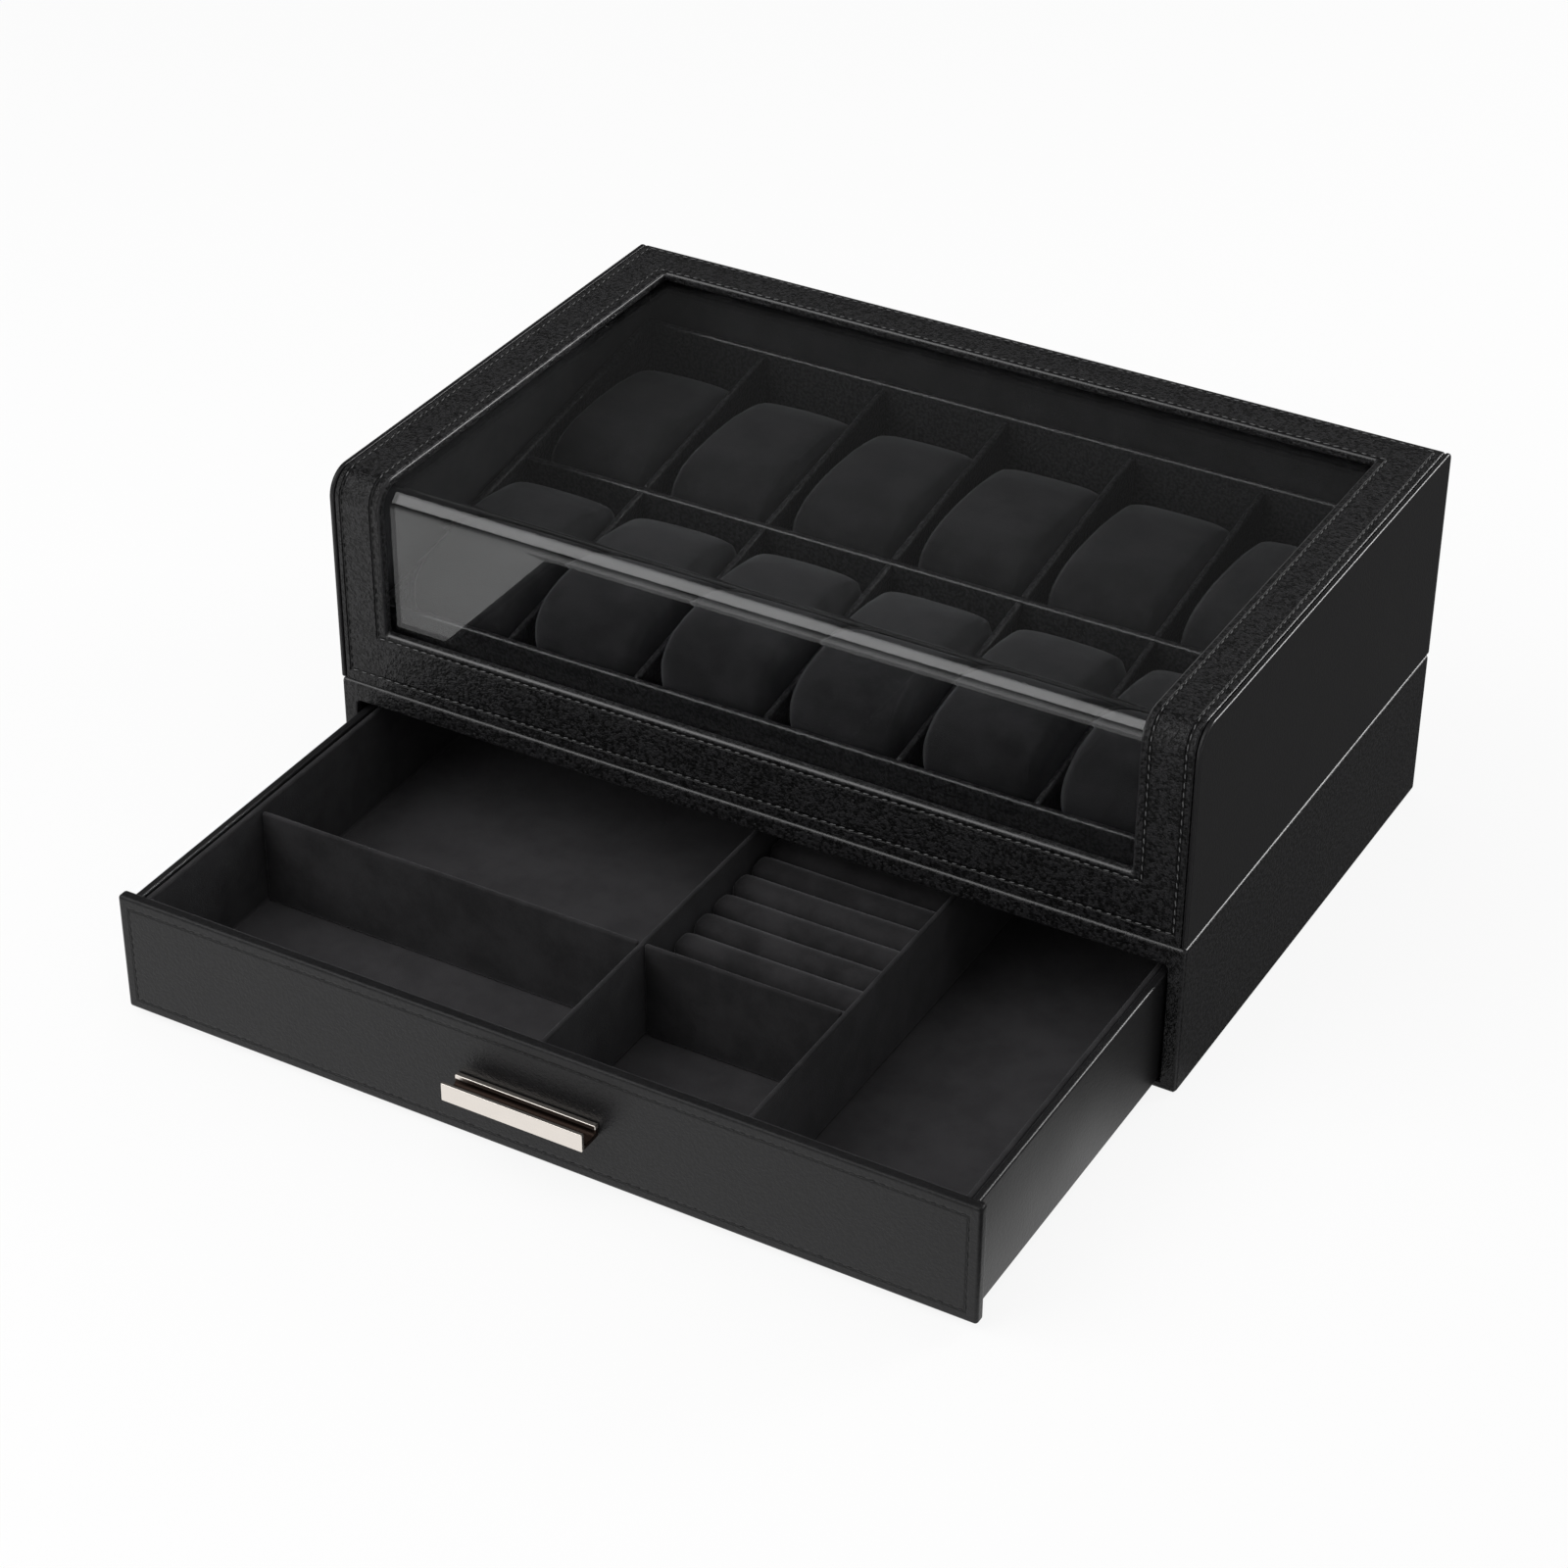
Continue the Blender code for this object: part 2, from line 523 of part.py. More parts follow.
def build_lid(leather, pane, velvet, parent):
    """The lid: two sides, a back, a bent frame round the window, its pane and its linings."""
    sides = (("left", LEFT), ("right", RIGHT))
    for word, side in sides:
        lid_side(f"lid_{word}_side", side, leather, parent)
    block(
        "lid_back_wall",
        (-FITTED_HALF_WIDTH, BACK_WALL_FACE, LID_FOOT),
        (FITTED_HALF_WIDTH, HALF_DEPTH, FRAME_INNER_TOP - SEAT_GAP),
        leather,
        parent,
        BOARD_EDGE_RADIUS,
    )
    block(
        "lid_front_rail",
        (-FRAME_HALF_WIDTH, -HALF_DEPTH, LID_FOOT),
        (FRAME_HALF_WIDTH, FRAME_INNER_FRONT, WINDOW_FOOT),
        leather,
        parent,
        SMALL_EDGE_RADIUS,
    )
    rear_centre = (HALF_DEPTH - LID_REAR_BEND_RADIUS, LID_TOP - LID_REAR_BEND_RADIUS)
    rail_outline = [
        (WINDOW_REAR, FRAME_INNER_TOP),
        (HALF_DEPTH, FRAME_INNER_TOP),
        *arc(rear_centre, LID_REAR_BEND_RADIUS, 0, 90, BEND_STEPS),
        (WINDOW_REAR, LID_TOP),
    ]
    prism("lid_rear_rail", rail_outline, -FRAME_HALF_WIDTH, FRAME_HALF_WIDTH, "X", leather, parent)

    frame = bent_strip(
        WINDOW_REAR - SEAT_GAP,
        -HALF_DEPTH,
        WINDOW_FOOT + SEAT_GAP,
        LID_TOP,
        LID_FRAME_THICKNESS,
        LID_FRONT_BEND_RADIUS,
    )
    for word, side in sides:
        low, high = side_span(side, WINDOW_HALF_WIDTH, FRAME_HALF_WIDTH)
        prism(f"lid_{word}_frame", frame, low, high, "X", leather, parent, SMALL_EDGE_RADIUS)

    pane_outline = bent_strip(
        WINDOW_REAR + PANE_LAP,
        FRAME_INNER_FRONT + SEAT_GAP,
        WINDOW_FOOT - PANE_LAP,
        FRAME_INNER_TOP - SEAT_GAP,
        PANE_THICKNESS,
        PANE_BEND_RADIUS,
    )
    pane_half = WINDOW_HALF_WIDTH + PANE_LAP
    prism("display_pane", pane_outline, -pane_half, pane_half, "X", pane, parent)
    build_lid_linings(velvet, parent)


def build_lid_linings(velvet, parent):
    """Thin velvet boards on the inner faces of the lid's sides and back."""
    foot = LID_FOOT + LINING_FOOT_GAP
    top = FRAME_INNER_TOP - SEAT_GAP
    back_front = BACK_WALL_FACE - SEAT_GAP - LINING_THICKNESS
    for word, side in (("left", LEFT), ("right", RIGHT)):
        low, high = side_span(side, FITTED_HALF_WIDTH - LINING_THICKNESS, FITTED_HALF_WIDTH)
        block(
            f"lid_{word}_lining",
            (low, FRAME_INNER_FRONT + SEAT_GAP, foot),
            (high, back_front - SEAT_GAP, top - LINING_TOP_GAP),
            velvet,
            parent,
        )
    block(
        "lid_back_lining",
        (-FITTED_HALF_WIDTH, back_front, foot),
        (FITTED_HALF_WIDTH, BACK_WALL_FACE - SEAT_GAP, top - SEAT_GAP),
        velvet,
        parent,
    )


def hinge_leaf(name, centre_x, up, own_knuckles, steel, parent):
    """One leaf with its knuckles. It runs up from the axis if up is 1, and down if it is -1."""
    near = HALF_DEPTH + SEAT_GAP
    far = near + HINGE_LEAF_THICKNESS
    axis = (HINGE_AXIS_Y, HINGE_AXIS_Z)
    meet = math.degrees(math.acos((far - HINGE_AXIS_Y) / KNUCKLE_RADIUS))
    barrel = [
        (y, HINGE_AXIS_Z + up * z) for y, z in arc((HINGE_AXIS_Y, 0), KNUCKLE_RADIUS, meet, -180, ROUND_SEGMENTS)
    ]
    tip = HINGE_AXIS_Z + up * HINGE_LEAF_HEIGHT
    outline = [(near, tip), (far, tip), *barrel, (near, HINGE_AXIS_Z)]
    half = HINGE_WIDTH / 2
    leaf = prism(name, outline, centre_x - half, centre_x + half, "X", steel, parent)

    knuckle = HINGE_WIDTH / KNUCKLES
    reach = KNUCKLE_RADIUS + SEAT_GAP
    for number in range(KNUCKLES):
        if number in own_knuckles:
            continue
        start = centre_x - half + number * knuckle
        gap_low = start - (CUT_OVERRUN if number == 0 else SEAT_GAP / 2)
        gap_high = start + knuckle + (CUT_OVERRUN if number == KNUCKLES - 1 else SEAT_GAP / 2)
        low_z, high_z = sorted((HINGE_AXIS_Z + up * reach, HINGE_AXIS_Z - up * (reach + CUT_OVERRUN)))
        gap = block(
            f"{name}_gap_{number}",
            (gap_low, near - CUT_OVERRUN, low_z),
            (gap_high, HINGE_AXIS_Y + reach + CUT_OVERRUN, high_z),
            steel,
            parent,
        )
        cut(leaf, gap)
    bore_half = half + CUT_OVERRUN
    bore_profile = [(centre_x + end * bore_half, HINGE_PIN_RADIUS + SEAT_GAP) for end in (LEFT, RIGHT)]
    cut(leaf, turned(name + "_bore", bore_profile, "X", axis, steel, parent))


def build_hinges(steel, lid_axis):
    """Two butt hinges on the backs of the case and the lid, each with its own pin."""
    middle = {KNUCKLES // 2}
    outer = set(range(KNUCKLES)) - middle
    for word, side in (("left", LEFT), ("right", RIGHT)):
        centre_x = side * (HALF_WIDTH - HINGE_SIDE_INSET)
        hinge_leaf(f"hinge_{word}_case_leaf", centre_x, -1, outer, steel, None)
        hinge_leaf(f"hinge_{word}_lid_leaf", centre_x, 1, middle, steel, lid_axis)
        profile = [(centre_x + end * HINGE_WIDTH / 2, HINGE_PIN_RADIUS) for end in (LEFT, RIGHT)]
        turned(f"hinge_{word}_pin", profile, "X", (HINGE_AXIS_Y, HINGE_AXIS_Z), steel)


def build_drawer_box(leather, parent):
    """The drawer's front, sides, back and bottom."""
    front_half = INNER_HALF_WIDTH + DRAWER_FRONT_LAP
    front = block(
        "drawer_front",
        (-front_half, DRAWER_FRONT_FACE, CASE_FOOT + DRAWER_FRONT_FOOT_GAP),
        (front_half, DRAWER_FRONT_BACK, BAY_CEILING - DRAWER_FRONT_TOP_GAP),
        leather,
        parent,
        BOARD_EDGE_RADIUS,
    )
    for word, side in (("left", LEFT), ("right", RIGHT)):
        low, high = side_span(side, DRAWER_HALF_WIDTH - DRAWER_WALL_THICKNESS, DRAWER_HALF_WIDTH)
        block(
            f"drawer_{word}_side",
            (low, DRAWER_BOX_FRONT, DRAWER_FOOT),
            (high, DRAWER_BOX_REAR, DRAWER_TOP),
            leather,
            parent,
            BOARD_EDGE_RADIUS,
        )
        cut(front, screw_hole(f"drawer_front_{word}_screw_hole", side, leather, parent))
    block(
        "drawer_back",
        (-DRAWER_INNER_HALF_WIDTH, DRAWER_BOX_REAR - DRAWER_WALL_THICKNESS, DRAWER_FOOT),
        (DRAWER_INNER_HALF_WIDTH, DRAWER_BOX_REAR, DRAWER_TOP),
        leather,
        parent,
        BOARD_EDGE_RADIUS,
    )
    block(
        "drawer_bottom",
        (-DRAWER_INNER_HALF_WIDTH, DRAWER_BOX_FRONT, DRAWER_FOOT),
        (DRAWER_INNER_HALF_WIDTH, DRAWER_INNER_REAR, LINER_FOOT - SEAT_GAP),
        leather,
        parent,
    )


def screw_hole(name, side, material, parent):
    """The cutter for one screw: a shank hole that runs into the pull, and a counterbore."""
    profile = [
        (PULL_BACK - SCREW_THREAD_DEPTH - SEAT_GAP, SCREW_HOLE_RADIUS),
        (SCREW_SEAT - SEAT_GAP, SCREW_HOLE_RADIUS),
        (SCREW_SEAT - SEAT_GAP, SCREW_HEAD_RADIUS + SEAT_GAP),
        (DRAWER_FRONT_BACK + CUT_OVERRUN, SCREW_HEAD_RADIUS + SEAT_GAP),
    ]
    centre = (side * PULL_SCREW_SPACING / 2, SCREW_HEIGHT)
    return turned(name, profile, "Y", centre, material, parent)


def build_pull(metal, parent):
    """The channel-shaped pull and the two screws that hold it from inside the drawer."""
    flange_front = PULL_BACK - PULL_FLANGE_THICKNESS
    lip_front = PULL_BACK - PULL_REACH
    lip_back = lip_front + PULL_WALL_THICKNESS
    web_top = PULL_FOOT + PULL_WALL_THICKNESS
    outline = [
        (PULL_BACK, PULL_FOOT),
        (PULL_BACK, PULL_FOOT + PULL_FLANGE_HEIGHT),
        (flange_front, PULL_FOOT + PULL_FLANGE_HEIGHT),
        (flange_front, web_top),
        (lip_back, web_top),
        (lip_back, PULL_FOOT + PULL_LIP_HEIGHT),
        (lip_front, PULL_FOOT + PULL_LIP_HEIGHT),
        (lip_front, PULL_FOOT),
    ]
    half = PULL_LENGTH / 2
    pull = prism("drawer_pull", outline, -half, half, "X", metal, parent)
    for word, side in (("left", LEFT), ("right", RIGHT)):
        cut(pull, screw_hole(f"drawer_pull_{word}_screw_hole", side, metal, parent))
        profile = [
            (PULL_BACK - SCREW_THREAD_DEPTH, SCREW_RADIUS),
            (SCREW_SEAT, SCREW_RADIUS),
            (SCREW_SEAT, SCREW_HEAD_RADIUS),
            (SCREW_SEAT + SCREW_HEAD_THICKNESS, SCREW_HEAD_RADIUS),
        ]
        centre = (side * PULL_SCREW_SPACING / 2, SCREW_HEIGHT)
        turned(f"pull_screw_{word}", profile, "Y", centre, metal, parent)


def build_drawer_lining(velvet, parent):
    """The velvet liner that fills the drawer, and the dividers that make its compartments."""
    liner = block(
        "drawer_liner",
        (-DRAWER_INNER_HALF_WIDTH, DRAWER_BOX_FRONT, LINER_FOOT),
        (DRAWER_INNER_HALF_WIDTH, DRAWER_INNER_REAR, LINER_RIM),
        velvet,
        parent,
        SMALL_EDGE_RADIUS,
    )
    hollow = block(
        "drawer_liner_hollow",
        (-CELL_HALF_WIDTH, CELL_FRONT, LINER_FLOOR),
        (CELL_HALF_WIDTH, CELL_REAR, LINER_RIM + CUT_OVERRUN),
        velvet,
        parent,
    )
    cut(liner, hollow)

    half = DRAWER_DIVIDER_THICKNESS / 2
    for word, x in (("left", LEFT_DIVIDER_X), ("right", RIGHT_DIVIDER_X)):
        block(
            f"drawer_{word}_long_divider",
            (x - half, CELL_FRONT + SEAT_GAP, DRAWER_DIVIDER_FOOT),
            (x + half, CELL_REAR - SEAT_GAP, DRAWER_DIVIDER_TOP),
            velvet,
            parent,
            SMALL_EDGE_RADIUS,
        )
    spans = (
        ("left", -CELL_HALF_WIDTH, LEFT_DIVIDER_X - half),
        ("middle", LEFT_DIVIDER_X + half, RIGHT_DIVIDER_X - half),
    )
    for word, low, high in spans:
        block(
            f"drawer_{word}_cross_divider",
            (low + SEAT_GAP, CROSS_DIVIDER_FRONT, DRAWER_DIVIDER_FOOT),
            (high - SEAT_GAP, CROSS_DIVIDER_REAR, DRAWER_DIVIDER_TOP),
            velvet,
            parent,
            SMALL_EDGE_RADIUS,
        )


def build_ring_cushion(velvet, parent):
    """The ribbed ring cushion: a row of padded rolls that lie side by side on one base."""
    half = DRAWER_DIVIDER_THICKNESS / 2
    front, rear = CROSS_DIVIDER_REAR + SEAT_GAP, CELL_REAR - SEAT_GAP
    foot = LINER_FLOOR + SEAT_GAP
    top = foot + RING_CUSHION_HEIGHT
    pitch = (rear - front) / RING_ROLLS
    outline = [(rear, foot), (front, foot)]
    for roll in range(RING_ROLLS):
        middle = front + (roll + 1 / 2) * pitch
        arch = arc((0, 0), 1, 180, 0, RING_ROLL_POINTS)
        points = [(middle + y * pitch / 2, top - RING_ROLL_DEPTH * (1 - z)) for y, z in arch]
        outline += points if roll == 0 else points[1:]
    low = LEFT_DIVIDER_X + half + SEAT_GAP
    high = RIGHT_DIVIDER_X - half - SEAT_GAP
    prism("ring_cushion", outline, low, high, "X", velvet, parent)


def main():
    """Builds the whole box."""
    clear_scene()
    leather = make_material("black_leather", (0.012, 0.012, 0.013), 0.45)
    velvet = make_material("black_velvet", (0.010, 0.010, 0.012), 0.95)
    felt = make_material("black_felt", (0.015, 0.015, 0.016), 0.98)
    pane = make_material("clear_pane", (0.90, 0.93, 0.93), 0.04, alpha=0.2)
    nickel = make_material("champagne_nickel", (0.72, 0.66, 0.61), 0.28, metallic=1.0)
    steel = make_material("hinge_steel", (0.55, 0.55, 0.56), 0.35, metallic=1.0)

    lid_axis = make_empty("lid_axis", (0, HINGE_AXIS_Y, HINGE_AXIS_Z))
    drawer_slide = make_empty("drawer_slide", (0, DRAWER_FRONT_BACK, DRAWER_FOOT))

    build_case(leather, felt)
    build_tray(leather, velvet)
    build_tray_dividers(leather)
    build_pillows(velvet)
    build_lid(leather, pane, velvet, lid_axis)
    build_hinges(steel, lid_axis)
    build_drawer_box(leather, drawer_slide)
    build_pull(nickel, drawer_slide)
    build_drawer_lining(velvet, drawer_slide)
    build_ring_cushion(velvet, drawer_slide)


main()
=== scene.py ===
import logging
import math
import random
from collections.abc import Callable, Iterator, Sequence
from contextlib import contextmanager
from dataclasses import dataclass, field
from enum import Enum

import bmesh
import bpy
from mathutils import Matrix, Vector


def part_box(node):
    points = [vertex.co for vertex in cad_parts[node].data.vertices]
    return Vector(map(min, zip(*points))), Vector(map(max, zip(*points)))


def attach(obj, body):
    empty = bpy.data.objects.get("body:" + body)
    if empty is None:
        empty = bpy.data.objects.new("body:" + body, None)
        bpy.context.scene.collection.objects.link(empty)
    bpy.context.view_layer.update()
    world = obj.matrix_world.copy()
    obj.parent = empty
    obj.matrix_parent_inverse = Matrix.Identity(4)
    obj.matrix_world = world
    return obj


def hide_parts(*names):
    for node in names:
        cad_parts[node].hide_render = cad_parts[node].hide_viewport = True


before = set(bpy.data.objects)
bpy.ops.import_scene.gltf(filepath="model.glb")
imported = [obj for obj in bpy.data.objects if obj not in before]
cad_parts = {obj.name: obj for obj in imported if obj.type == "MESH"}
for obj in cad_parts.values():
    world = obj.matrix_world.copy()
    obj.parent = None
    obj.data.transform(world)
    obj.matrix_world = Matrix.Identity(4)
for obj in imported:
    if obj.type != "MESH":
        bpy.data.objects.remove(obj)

LOG = logging.getLogger("watch_box")
MM = 0.001
OVERLAP = 0.2 * MM
SEAT_GAP = 0.3 * MM
FLAT_FACE = 0.97
EDGE = "turned_edge"
RUN = "run"
WHITE = (1.0, 1.0, 1.0, 1.0)


class Body(Enum):
    """The CAD body that a piece moves with."""

    CASE = "case"
    LID = "lid"
    DRAWER = "drawer"


class Slot(Enum):
    """The record's material slot of a piece; it is passed along but not read."""

    LEATHER = "black_leather"
    VELVET = "black_velvet"
    PANE = "clear_pane"
    NICKEL = "champagne_nickel"
    STEEL = "hinge_steel"


class Side(Enum):
    """Which end of the box a piece is on, as a sign for x."""

    LEFT = -1
    RIGHT = 1

    @property
    def word(self) -> str:
        """The side's name in a CAD node's name."""
        return self.name.lower()


# Shader building


class Wire:
    """An output socket that Python's operators turn into Math nodes."""

    def __init__(self, graph: "Graph", socket: bpy.types.NodeSocket) -> None:
        self.graph = graph
        self.socket = socket

    def _join(self, operation: str, first: "Wire | float", second: "Wire | float") -> "Wire":
        """A Math node over two values.

        Args:
            operation: The Math node's operation.
            first: Its first value.
            second: Its second value.

        Returns:
            The node's result.
        """
        return self.graph.node("ShaderNodeMath", {"operation": operation}, {0: first, 1: second})

    def __add__(self, other: "Wire | float") -> "Wire":
        """The sum."""
        return self._join("ADD", self, other)

    def __radd__(self, other: float) -> "Wire":
        """The sum, with the number first."""
        return self._join("ADD", other, self)

    def __sub__(self, other: "Wire | float") -> "Wire":
        """The difference."""
        return self._join("SUBTRACT", self, other)

    def __rsub__(self, other: float) -> "Wire":
        """The difference, with the number first."""
        return self._join("SUBTRACT", other, self)

    def __mul__(self, other: "Wire | float") -> "Wire":
        """The product."""
        return self._join("MULTIPLY", self, other)

    def __rmul__(self, other: float) -> "Wire":
        """The product, with the number first."""
        return self._join("MULTIPLY", other, self)

    def __abs__(self) -> "Wire":
        """The size without its sign."""
        return self._join("ABSOLUTE", self, 0.0)

    def larger(self, other: "Wire | float") -> "Wire":
        """The larger of two values."""
        return self._join("MAXIMUM", self, other)

    def step(self, low: float, high: float) -> "Wire":
        """A smooth step from 0 at low to 1 at high.

        Args:
            low: Where the step starts.
            high: Where it ends; a smaller number than low turns the step round.

        Returns:
            The step's value.
        """
        settings = {"interpolation_type": "SMOOTHSTEP", "clamp": True}
        rising = low < high
        ends = {1: min(low, high), 2: max(low, high), 3: 0.0 if rising else 1.0, 4: 1.0 if rising else 0.0}
        return self.graph.node("ShaderNodeMapRange", settings, {0: self, **ends})


class Graph:
    """The node tree of one material or of the world."""

    def __init__(self, tree: bpy.types.NodeTree, end: str = "ShaderNodeOutputMaterial") -> None:
        self.tree = tree
        self.end = end
        self.tree.nodes.clear()

    def node(
        self,
        kind: str,
        settings: dict[str, object] | None = None,
        inputs: dict[int | str, object] | None = None,
        output: int | str = 0,
    ) -> Wire:
        """Adds a node with its settings first, then its values and links.

        Args:
            kind: The node's type.
            settings: Its own properties.
            inputs: Its sockets, by number or name: a Wire is linked, and a value is set.
            output: The socket that is returned.

        Returns:
            The chosen output.
        """
        made = self.tree.nodes.new(kind)
        for name, value in (settings or {}).items():
            setattr(made, name, value)
        for name, value in (inputs or {}).items():
            if isinstance(value, Wire):
                self.tree.links.new(value.socket, made.inputs[name])
            else:
                made.inputs[name].default_value = value
        return Wire(self, made.outputs[output])

    def place(self) -> Wire:
        """The point on the piece, in metres."""
        return self.node("ShaderNodeTexCoord", output="Object")

    def split(self, vector: Wire) -> tuple[Wire, Wire, Wire]:
        """The three parts of a vector.

        Args:
            vector: The vector.

        Returns:
            Its x, y and z.
        """
        x = self.node("ShaderNodeSeparateXYZ", inputs={0: vector})
        return x, Wire(self, x.socket.node.outputs[1]), Wire(self, x.socket.node.outputs[2])

    def noise(self, place: Wire, size: float, detail: float = 3.0, rough: float = 0.55) -> Wire:
        """Cloudy noise.

        Args:
            place: Where it is read.
            size: The size of its largest blotches in metres.
            detail: How many finer layers it has.
            rough: How strong the finer layers are.

        Returns:
            A value from 0 to 1.
        """
        values = {"Vector": place, "Scale": 1 / size, "Detail": detail, "Roughness": rough}
        return self.node("ShaderNodeTexNoise", {"normalize": True}, values)

    def cells(self, place: Wire, size: float, feature: str = "DISTANCE_TO_EDGE") -> Wire:
        """Irregular cells, as in a pebbled hide.

        Args:
            place: Where they are read.
            size: The width of a cell in metres.
            feature: Which Voronoi value is read.

        Returns:
            The value.
        """
        settings = {"feature": feature, "voronoi_dimensions": "3D"}
        return self.node("ShaderNodeTexVoronoi", settings, {"Vector": place, "Scale": 1 / size})

    def warp(self, place: Wire, size: float, reach: float) -> Wire:
        """The place pushed about by noise, so that cells lose their even look.

        Args:
            place: The place.
            size: The size of the pushes in metres.
            reach: How far they go in metres.

        Returns:
            The new place.
        """
        values = {"Vector": place, "Scale": 1 / size, "Detail": 1.0}
        push = self.node("ShaderNodeTexNoise", inputs=values, output="Color")
        scaled = self.node("ShaderNodeVectorMath", {"operation": "SCALE"}, {0: push, "Scale": 2 * reach})
        return self.node("ShaderNodeVectorMath", {"operation": "ADD"}, {0: place, 1: scaled})

    def colour(self, share: Wire, low: "Wire | Sequence[float]", high: Sequence[float]) -> Wire:
        """A mix of two colours.

        Args:
            share: How much of the second there is.
            low: The first colour, or one that is already mixed.
            high: The second colour.

        Returns:
            The mixed colour.
        """
        first = low if isinstance(low, Wire) else (*low, 1.0)
        return self.node("ShaderNodeMix", {"data_type": "RGBA"}, {0: share, 6: first, 7: (*high, 1.0)}, 2)

    def relief(self, height: Wire, depth: float) -> Wire:
        """A normal from a height.

        Args:
            height: The height, from 0 to 1.
            depth: The depth in metres that a height of 1 stands for.

        Returns:
            The normal.
        """
        return self.node("ShaderNodeBump", inputs={"Height": height, "Distance": depth, "Strength": 1.0})

    def show(self, shader: Wire) -> None:
        """Links the shader to the output node.

        Args:
            shader: The finished shader.
        """
        end = self.tree.nodes.new(self.end)
        self.tree.links.new(shader.socket, end.inputs["Surface"])


# Finishes

Colour = tuple[float, float, float]


@dataclass(frozen=True)
class Finish:
    """A material with its own tone."""

    name: str
    tone: Colour

    def material(self) -> bpy.types.Material:
        """Builds the material.

        Returns:
            The finished material.
        """
        material = bpy.data.materials.new(self.name)
        material.use_nodes = True
        graph = Graph(material.node_tree)
        graph.show(self.shader(graph))
        return material

    def shader(self, graph: Graph) -> Wire:
        """Builds the material's shader.

        Args:
            graph: The material's empty graph.

        Returns:
            The shader.
        """
        raise NotImplementedError

    def shade(self, factor: float) -> Colour:
        """The tone made darker or lighter."""
        return tuple(min(1.0, c * factor) for c in self.tone)


@dataclass(frozen=True)
class PressedLine:
    """A closed stitching line pressed into leather: a rectangle on the piece's own UV run, in metres."""

    low: tuple[float, float]
    high: tuple[float, float]


@dataclass(frozen=True)
class Leather(Finish):
    """Black bonded leather with a pressed grain."""

    tone: Colour = (0.0105, 0.0103, 0.0110)
    grain_size: float = 1.0 * MM
    grain_depth: float = 0.26 * MM
    roughness: float = 0.38
    shine: float = 0.3
    speckle: float = 1.0
    edge_polish_and_highlight: float = 1.0
    smooth_beyond: float | None = None
    lines: tuple[PressedLine, ...] = ()
    line_width: float = 0.9 * MM
    line_depth: float = 2.4
    edge_fade: float = 0.5 * MM

    def shader(self, graph: Graph) -> Wire:
        """The leather's shader."""
        place = graph.place()
        hide = graph.warp(place, 2.2 * MM, 0.5 * MM)
        crease = graph.cells(hide, self.grain_size).step(0.0, 0.22)
        dome = 1 - graph.cells(hide, self.grain_size, "F1")
        pebble = crease * 0.45 + dome * 0.55
        fine = graph.noise(place, 0.35 * MM, 2.0)
        sag = graph.noise(place, 9 * MM, 2.0)
        patches = graph.noise(place, 38 * MM, 2.0)
        turned = graph.node("ShaderNodeAttribute", {"attribute_name": EDGE}, output="Fac") * self.edge_polish_and_highlight
        blots = graph.noise(place, 1.25 * self.grain_size, 1.0, 0.4).step(0.34, 0.66)
        grain = (pebble * 0.6 + blots * 0.6 + fine * 0.15) * (1 - turned * 0.75)
        if self.smooth_beyond is not None:
            across = abs(graph.split(place)[0])
            grain = grain * (1 - across.step(self.smooth_beyond, self.smooth_beyond + self.edge_fade) * 0.72)
        height = grain + sag * 0.8
        shade = 0.35 + (pebble * 0.25 + blots * 0.75 - 0.5) * self.speckle + patches * 0.10
        rough = fine * 0.10 + patches * 0.10 + (self.roughness - 0.10) - turned * 0.10
        if self.lines:
            groove = self._groove(graph)
            height = height - groove * self.line_depth
            # Painted shade: the pressed line is also darkened in base colour, as shade in the groove.
            shade = shade * (1 - groove * 0.8)
            rough = rough + groove * 0.12
        dark, pale = self.shade(0.20), self.shade(2.6)
        # Painted highlight: rounded edges get a lighter base colour, partly real edge wear and partly
        # standing in for the bright lines that the edges catch.
        worn_edge_highlight = self.shade(3.2)
        values = {
            "Base Color": graph.colour(turned * 0.8, graph.colour(shade, dark, pale), worn_edge_highlight),
            "Roughness": rough,
            "Coat Weight": turned,
            "Coat Roughness": 0.26,
            "Specular IOR Level": self.shine,
            "Normal": graph.relief(height, self.grain_depth),
        }
        return graph.node("ShaderNodeBsdfPrincipled", inputs=values)

    def _groove(self, graph: Graph) -> Wire:
        """How near a point is to a pressed line.

        Args:
            graph: The material's graph.

        Returns:
            1 on a line and 0 away from it.
        """
        u, v, _ = graph.split(graph.node("ShaderNodeUVMap", {"uv_map": RUN}))
        found: Wire | float = 0.0
        for line in self.lines:
            middle = [(a + b) / 2 for a, b in zip(line.low, line.high)]
            half = [(b - a) / 2 for a, b in zip(line.low, line.high)]
            away = abs((abs(u - middle[0]) - half[0]).larger(abs(v - middle[1]) - half[1]))
            groove = away.step(self.line_width, 0.2 * self.line_width)
            found = groove if isinstance(found, float) else found.larger(groove)
        return found


